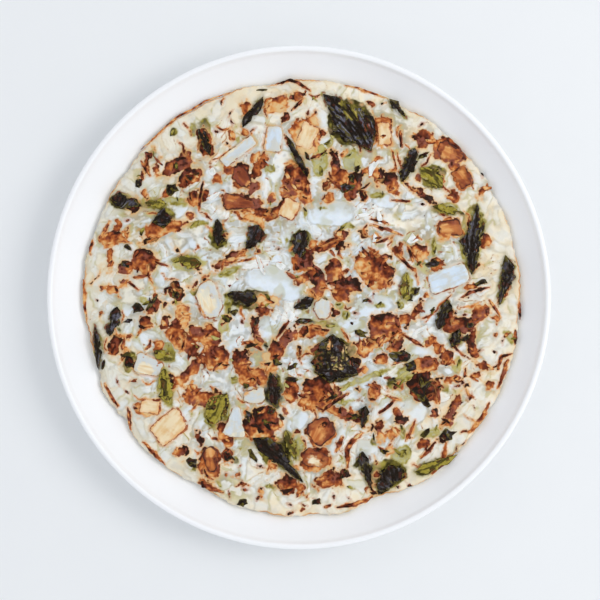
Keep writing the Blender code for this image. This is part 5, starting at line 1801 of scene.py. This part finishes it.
@dataclass
class Garnish:
    """All the small raised scraps: crust flakes, strands, stem slivers, leaf shreds and char specks."""

    batter: BVHTree
    taken: list[Array]
    farthest: float = 30.0
    sparseness: float = 170.0

    def _free(self, spot: Point, margin: float) -> bool:
        """Whether a spot keeps clear of the large stems and leaves.

        Args:
            spot: the spot in pixels of the top view.
            margin: the least distance from their outlines in mm.

        Returns:
            True where it does.
        """
        place = plan(spot)[None]
        for outline in self.taken:
            if np.abs(outline - place).max(axis=1).min() > self.farthest:
                continue
            covered, distance = inside_outline(place, outline)
            if covered[0] or distance[0] < margin:
                return False
        return True

    def _fits(self, dab: Dab, gap: float) -> bool:
        """Whether a patch keeps clear of them, with a gap in mm round it."""
        return self._free(dab.at, dab.length * PLAN_SCALE / 2 + gap)

    def _clear_of_fried(self, spot: Point) -> bool:
        """Whether a spot is outside the placed fried and green patches."""
        patches = (*CRUSTS, *HERBS)
        return all(math.dist(spot, dab.at) > max(dab.length, dab.width) * 0.6 + 5 for dab in patches)

    def _around(self, dab: Dab, dice: Dice) -> list[Dab]:
        """Strews smaller patches over a larger one.

        Args:
            dab: the larger one.
            dice: the draws.

        Returns:
            The smaller ones.
        """
        made = []
        turn = math.radians(dab.turn)
        for _ in range(int(1 + dab.length * dab.width / self.sparseness)):
            along = dice.uniform(-0.42, 0.42) * dab.length
            across = dice.uniform(-0.42, 0.42) * dab.width
            x = dab.at[0] + along * math.cos(turn) - across * math.sin(turn)
            y = dab.at[1] - along * math.sin(turn) - across * math.cos(turn)
            length = min(dice.uniform(5.0, 16.0), max(dab.length, dab.width) * 0.9)
            width = min(length * dice.uniform(0.18, 0.5), min(dab.length, dab.width))
            turned, tone = dice.uniform(0, 180), dab.tone + dice.uniform(-0.24, 0.3)
            made.append(Dab((x, y), length, width, turned, tone, dice.uniform(-0.3, 0.3)))
        return made

    def crust_flakes(self) -> Object:
        """Makes the craggy flakes on the fried patches.

        Returns:
            The piece.
        """
        scraps, dice = Scraps(Heap("crust_flakes"), self.batter), np.random.default_rng(501)
        for dab in CRUSTS:
            for small in self._around(dab, dice):
                if self._fits(small, 0.3):
                    scraps.flake(small, dice.uniform(0.3, 0.7), 20, torn=True)
        for dab in RandomFill(8).crusts(150)[::2]:
            if self._fits(dab, 0.3):
                scraps.flake(dab, dice.uniform(0.2, 0.45), 12)
        return self._done(scraps, CrispFinish("crisp_crust"))

    def strands(self) -> Object:
        """Makes the thin fried strands along the streaks.

        Returns:
            The piece.
        """
        scraps, dice = Scraps(Heap("crisp_strands"), self.batter), np.random.default_rng(502)
        for stroke in (*STREAKS, *RandomFill(14).streaks(130)[::2]):
            if all(self._free(at, stroke.width * PLAN_SCALE / 2 + 0.2) for at in stroke.points):
                scraps.strand(stroke, dice.uniform(0.3, 0.6))
        return self._done(scraps, CrispFinish("crisp_strand"))

    def slivers(self) -> Object:
        """Makes the pale slivers of stem that stand out of the batter.

        Returns:
            The piece.
        """
        scraps = Scraps(Heap("stem_slivers"), self.batter)
        for dab in RandomFill(33, 165.0).cells(120):
            small = Dab(dab.at, dab.length * 0.9, dab.width * 0.75, dab.turn, dab.tone, dab.bend)
            if self._fits(small, 0.3) and self._clear_of_fried(small.at):
                scraps.flake(small, 0.42, 28, rough=0.1)
        return self._done(scraps, STEM_FINISHES["sliver"])

    def shreds(self) -> Object:
        """Makes the small shreds of leaf, green to black.

        Returns:
            The piece.
        """
        scraps, dice = Scraps(Heap("leaf_shreds"), self.batter), np.random.default_rng(504)
        for dab in (*HERBS, *RandomFill(21).herbs(40)):
            for small in self._around(dab, dice):
                if self._fits(small, 0.2):
                    scraps.flake(small, dice.uniform(0.25, 0.55))
        return self._done(scraps, CrispFinish("leaf_shred", GREENS, 0.34, rosy=False))

    def dark_scraps(self) -> Object:
        """Makes the small torn pieces of dark leaf.

        Returns:
            The piece.
        """
        scraps, dice = Scraps(Heap("leaf_scraps"), self.batter), np.random.default_rng(506)
        for dab in DARKS:
            if self._free(dab.at, 0.5):
                scraps.flake(dab, dice.uniform(0.5, 0.8), 30, torn=True)
        return self._done(scraps, LEAF_FINISHES["scrap"])

    def specks(self) -> Object:
        """Makes the charred crumbs.

        Returns:
            The piece.
        """
        scraps, dice = Scraps(Heap("char_specks"), self.batter), np.random.default_rng(505)
        for spot in (*SPECKS, *(spot for spot, _ in RandomFill(60).spots(30, 12))):
            if self._free(spot, 1.2):
                size = dice.uniform(1.8, 4.8)
                width, turn = size * dice.uniform(0.3, 0.8), dice.uniform(0, 180)
                scraps.flake(Dab(spot, size, width, turn, dice.uniform(0.6, 0.95)), 0.4, 9, torn=True)
        return self._done(scraps, CrispFinish("char", rosy=False))

    def _done(self, scraps: Scraps, finish: CrispFinish | StemFinish | LeafFinish) -> Object:
        """Dresses the scraps and puts them on the root body.

        Args:
            scraps: the scraps.
            finish: what they are dressed in.

        Returns:
            The piece.
        """
        obj = scraps.heap.finish()
        finish.dress(obj)
        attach(obj, "root")
        return obj


@dataclass
class Plate:
    """The glazed plate, turned smoothly over its CAD node."""

    radius: float = 130.0
    height: float = 21.0
    floor: float = 5.5
    underside: float = 1.5
    well: float = 109.0
    base: float = 108.0
    power: float = 1.5
    lip: float = 1.6
    foot: float = 80.0
    foot_width: float = 4.0
    segments: int = 192

    def _section(self) -> list[Point]:
        """Half the section, from the middle of the well round to the middle of the base.

        Returns:
            Its points in mm: distance from the axis, and height.
        """
        inner = self.radius - 2 * self.lip
        rim = self.height - self.lip
        points = [(0.0, self.floor), (40.0, self.floor), (80.0, self.floor), (self.well - 3, self.floor)]
        for share in np.linspace(0, 1, 13):
            rise = (rim - self.floor) * share**self.power
            points.append((self.well + (inner - self.well) * share, self.floor + rise))
        for angle in np.linspace(math.pi, 0, 9)[1:]:
            out = self.radius - self.lip + self.lip * math.cos(angle)
            points.append((out, rim + self.lip * math.sin(angle)))
        for share in np.linspace(1, 0, 13)[1:]:
            rise = (rim - self.underside) * share**self.power
            points.append((self.base + (self.radius - self.base) * share, self.underside + rise))
        outer, inside = self.foot + self.foot_width / 2, self.foot - self.foot_width / 2
        under = self.underside
        points += [(outer + 0.6, under), (outer, under - 0.5), (outer, 0.3), (outer - 0.3, 0.0)]
        points += [(inside + 0.3, 0.0), (inside, 0.3), (inside, under - 0.5), (inside - 0.6, under)]
        return [*points, (0.0, under)]

    def build(self) -> Object:
        """Makes the plate.

        Returns:
            The dressed object, riding on the root body.
        """
        section = self._section()
        rings = section[1:-1]
        points = [[0.0, 0.0, section[0][1]]]
        for radius, level in rings:
            for step in range(self.segments):
                angle = 2 * math.pi * step / self.segments
                points.append([radius * math.cos(angle), radius * math.sin(angle), level])
        points.append([0.0, 0.0, section[-1][1]])
        obj = mesh_object("plate_glazed", np.array(points), stacked_faces(self.segments, len(rings)), {})
        GlazeFinish().dress(obj)
        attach(obj, "root")
        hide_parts("plate")
        return obj


@dataclass
class Studio:
    """The table, the soft light and the camera above the plate."""

    lens: float = 85.0
    sensor: float = 36.0
    rim_height: float = 14.0
    room: float = 0.97
    overhead: float = 0.28
    above: Point = (0.82, 0.97)
    sky: Tint = Tint(246, 249, 255)
    window: float = 8.7
    window_side: float = 0.85
    window_at: tuple[float, float, float] = (1.22, 0.18, 1.15)
    window_colour: tuple[float, float, float] = (1.0, 0.985, 0.965)
    table_reach: float = 3.0

    def table(self) -> None:
        """A wide pale table under the plate."""
        mesh = bpy.data.meshes.new("table")
        reach = self.table_reach
        corners = [(-reach, -reach, 0), (reach, -reach, 0), (reach, reach, 0), (-reach, reach, 0)]
        mesh.from_pydata(corners, [], [(0, 1, 2, 3)])
        table = bpy.data.objects.new("table", mesh)
        bpy.context.scene.collection.objects.link(table)
        TableFinish().dress(table)

    def light(self) -> None:
        """A pale room, dim straight overhead, with a large soft light from the right and a little behind."""
        world = bpy.data.worlds.new("room")
        bpy.context.scene.world = world
        sheet = NodeSheet(world)
        way = sheet.node("ShaderNodeTexCoord", {}, {}).outputs["Generated"]
        up = sheet.node("ShaderNodeSeparateXYZ", {}, {0: way}).outputs["Z"]
        inputs = {"Value": up, "From Min": self.above[0], "From Max": self.above[1]}
        inputs |= {"To Min": self.room, "To Max": self.overhead}
        level = sheet.node("ShaderNodeMapRange", {"interpolation_type": "SMOOTHSTEP"}, inputs).outputs[0]
        back = sheet.nodes["Background"]
        sheet.feed(back.inputs["Color"], self.sky)
        sheet.feed(back.inputs["Strength"], level)
        data = bpy.data.lights.new("window", "AREA")
        data.shape = "RECTANGLE"
        data.size, data.size_y = self.window_side, self.window_side
        data.energy = self.window
        data.color = self.window_colour
        lamp = bpy.data.objects.new("window", data)
        lamp.location = self.window_at
        lamp.rotation_euler = (Vector((0, 0, 0)) - lamp.location).to_track_quat("-Z", "Y").to_euler()
        bpy.context.scene.collection.objects.link(lamp)

    def camera(self) -> None:
        """A camera straight above, framed so that the plate sits where the top view has it."""
        data = bpy.data.cameras.new("camera")
        data.lens, data.sensor_width = self.lens, self.sensor
        width = PLAN_SIDE * PLAN_SCALE * MM
        distance = width * self.lens / self.sensor
        camera = bpy.data.objects.new("camera", data)
        middle = plan((PLAN_SIDE / 2, PLAN_SIDE / 2)) * MM
        camera.location = (middle[0], middle[1], self.rim_height * MM + distance)
        camera.rotation_euler = (0, 0, 0)
        bpy.context.scene.collection.objects.link(camera)
        bpy.context.scene.camera = camera

    def build(self) -> None:
        """Sets up the table, light, camera and plain colour handling."""
        self.table()
        self.light()
        self.camera()
        bpy.context.scene.view_settings.view_transform = "Standard"
        bpy.context.scene.view_settings.look = "None"


PALE_ROW = ((0.0, COOL_WHITE), (0.25, GREY_WHITE), (0.5, CREAM), (0.7, STRAW), (0.85, GOLDEN), (1.0, ORANGE))
BROWN_ROW = ((0.0, CREAM), (0.2, STRAW), (0.4, GOLDEN), (0.6, ORANGE), (0.8, RUSSET), (1.0, MAROON))
STEM_FINISHES = {
    "white": StemFinish(
        "stem_white", Tint(214, 228, 240), Tint(214, 212, 200), Tint(208, 214, 214), RUSSET, 0.35, 0.5,
        Tint(224, 210, 176), 0.42, PALE_ROW, 0.3,
    ),
    "tan": StemFinish(
        "stem_tan", Tint(240, 224, 190), Tint(240, 216, 172), Tint(232, 200, 148), Tint(158, 76, 32),
        0.55, 0.95, GOLDEN, 0.35, PALE_ROW,
    ),
    "brown": StemFinish(
        "stem_brown", Tint(150, 78, 58), Tint(212, 132, 62), Tint(164, 84, 44), Tint(76, 30, 14), 0.9, 0.85,
        Tint(122, 52, 28), 0.5, BROWN_ROW,
    ),
    "sliver": StemFinish(
        "sliver", COOL_WHITE, PALE_CREAM, GREY_WHITE, ORANGE, 0.3, 0.4, PALE_CREAM, 0.35, PALE_ROW,
    ),
}
LEAF_FINISHES = {
    "dark": LeafFinish("leaf_dark", Tint(44, 33, 15), PAINTED_SHEEN_SLATE, Tint(84, 74, 20), Tint(70, 32, 18), 0.2),
    "olive": LeafFinish(
        "leaf_olive", Tint(128, 114, 38), Tint(176, 160, 80), Tint(170, 154, 56), Tint(108, 72, 26), 0.6,
        Tint(184, 168, 80), DEEP_GREEN,
    ),
    "scrap": LeafFinish("leaf_scrap", Tint(48, 32, 15), PAINTED_SHEEN_SLATE, Tint(104, 92, 28), Tint(92, 36, 20), 0.3),
}


def report(obj: Object) -> None:
    """Logs a piece with its number of triangles."""
    triangles = sum(len(face.vertices) - 2 for face in obj.data.polygons)
    log.info("%s: %d triangles", obj.name, triangles)


def main() -> None:
    """Builds every piece, the table, the light and the camera."""
    logging.basicConfig(level=logging.INFO, format="%(message)s")
    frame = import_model()
    nodes = frame["nodes"]
    taken = [outline_of(node) for name, node in nodes.items() if name.startswith(("stem_", "leaf_"))]

    report(Plate().build())
    batter = Batter(nodes).build()
    report(batter)
    for kind in ("white", "tan", "brown"):
        report(Stems(kind, STEM_FINISHES[kind], rough=1.7 if kind == "brown" else 1.0).build(nodes))
    for kind in ("dark", "olive"):
        report(Leaves(kind, LEAF_FINISHES[kind]).build(nodes))
    garnish = Garnish(surface_of(batter), taken)
    for make in (garnish.crust_flakes, garnish.strands, garnish.slivers, garnish.shreds, garnish.dark_scraps):
        report(make())
    report(garnish.specks())
    Studio().build()


if __name__ == "__main__":
    main()
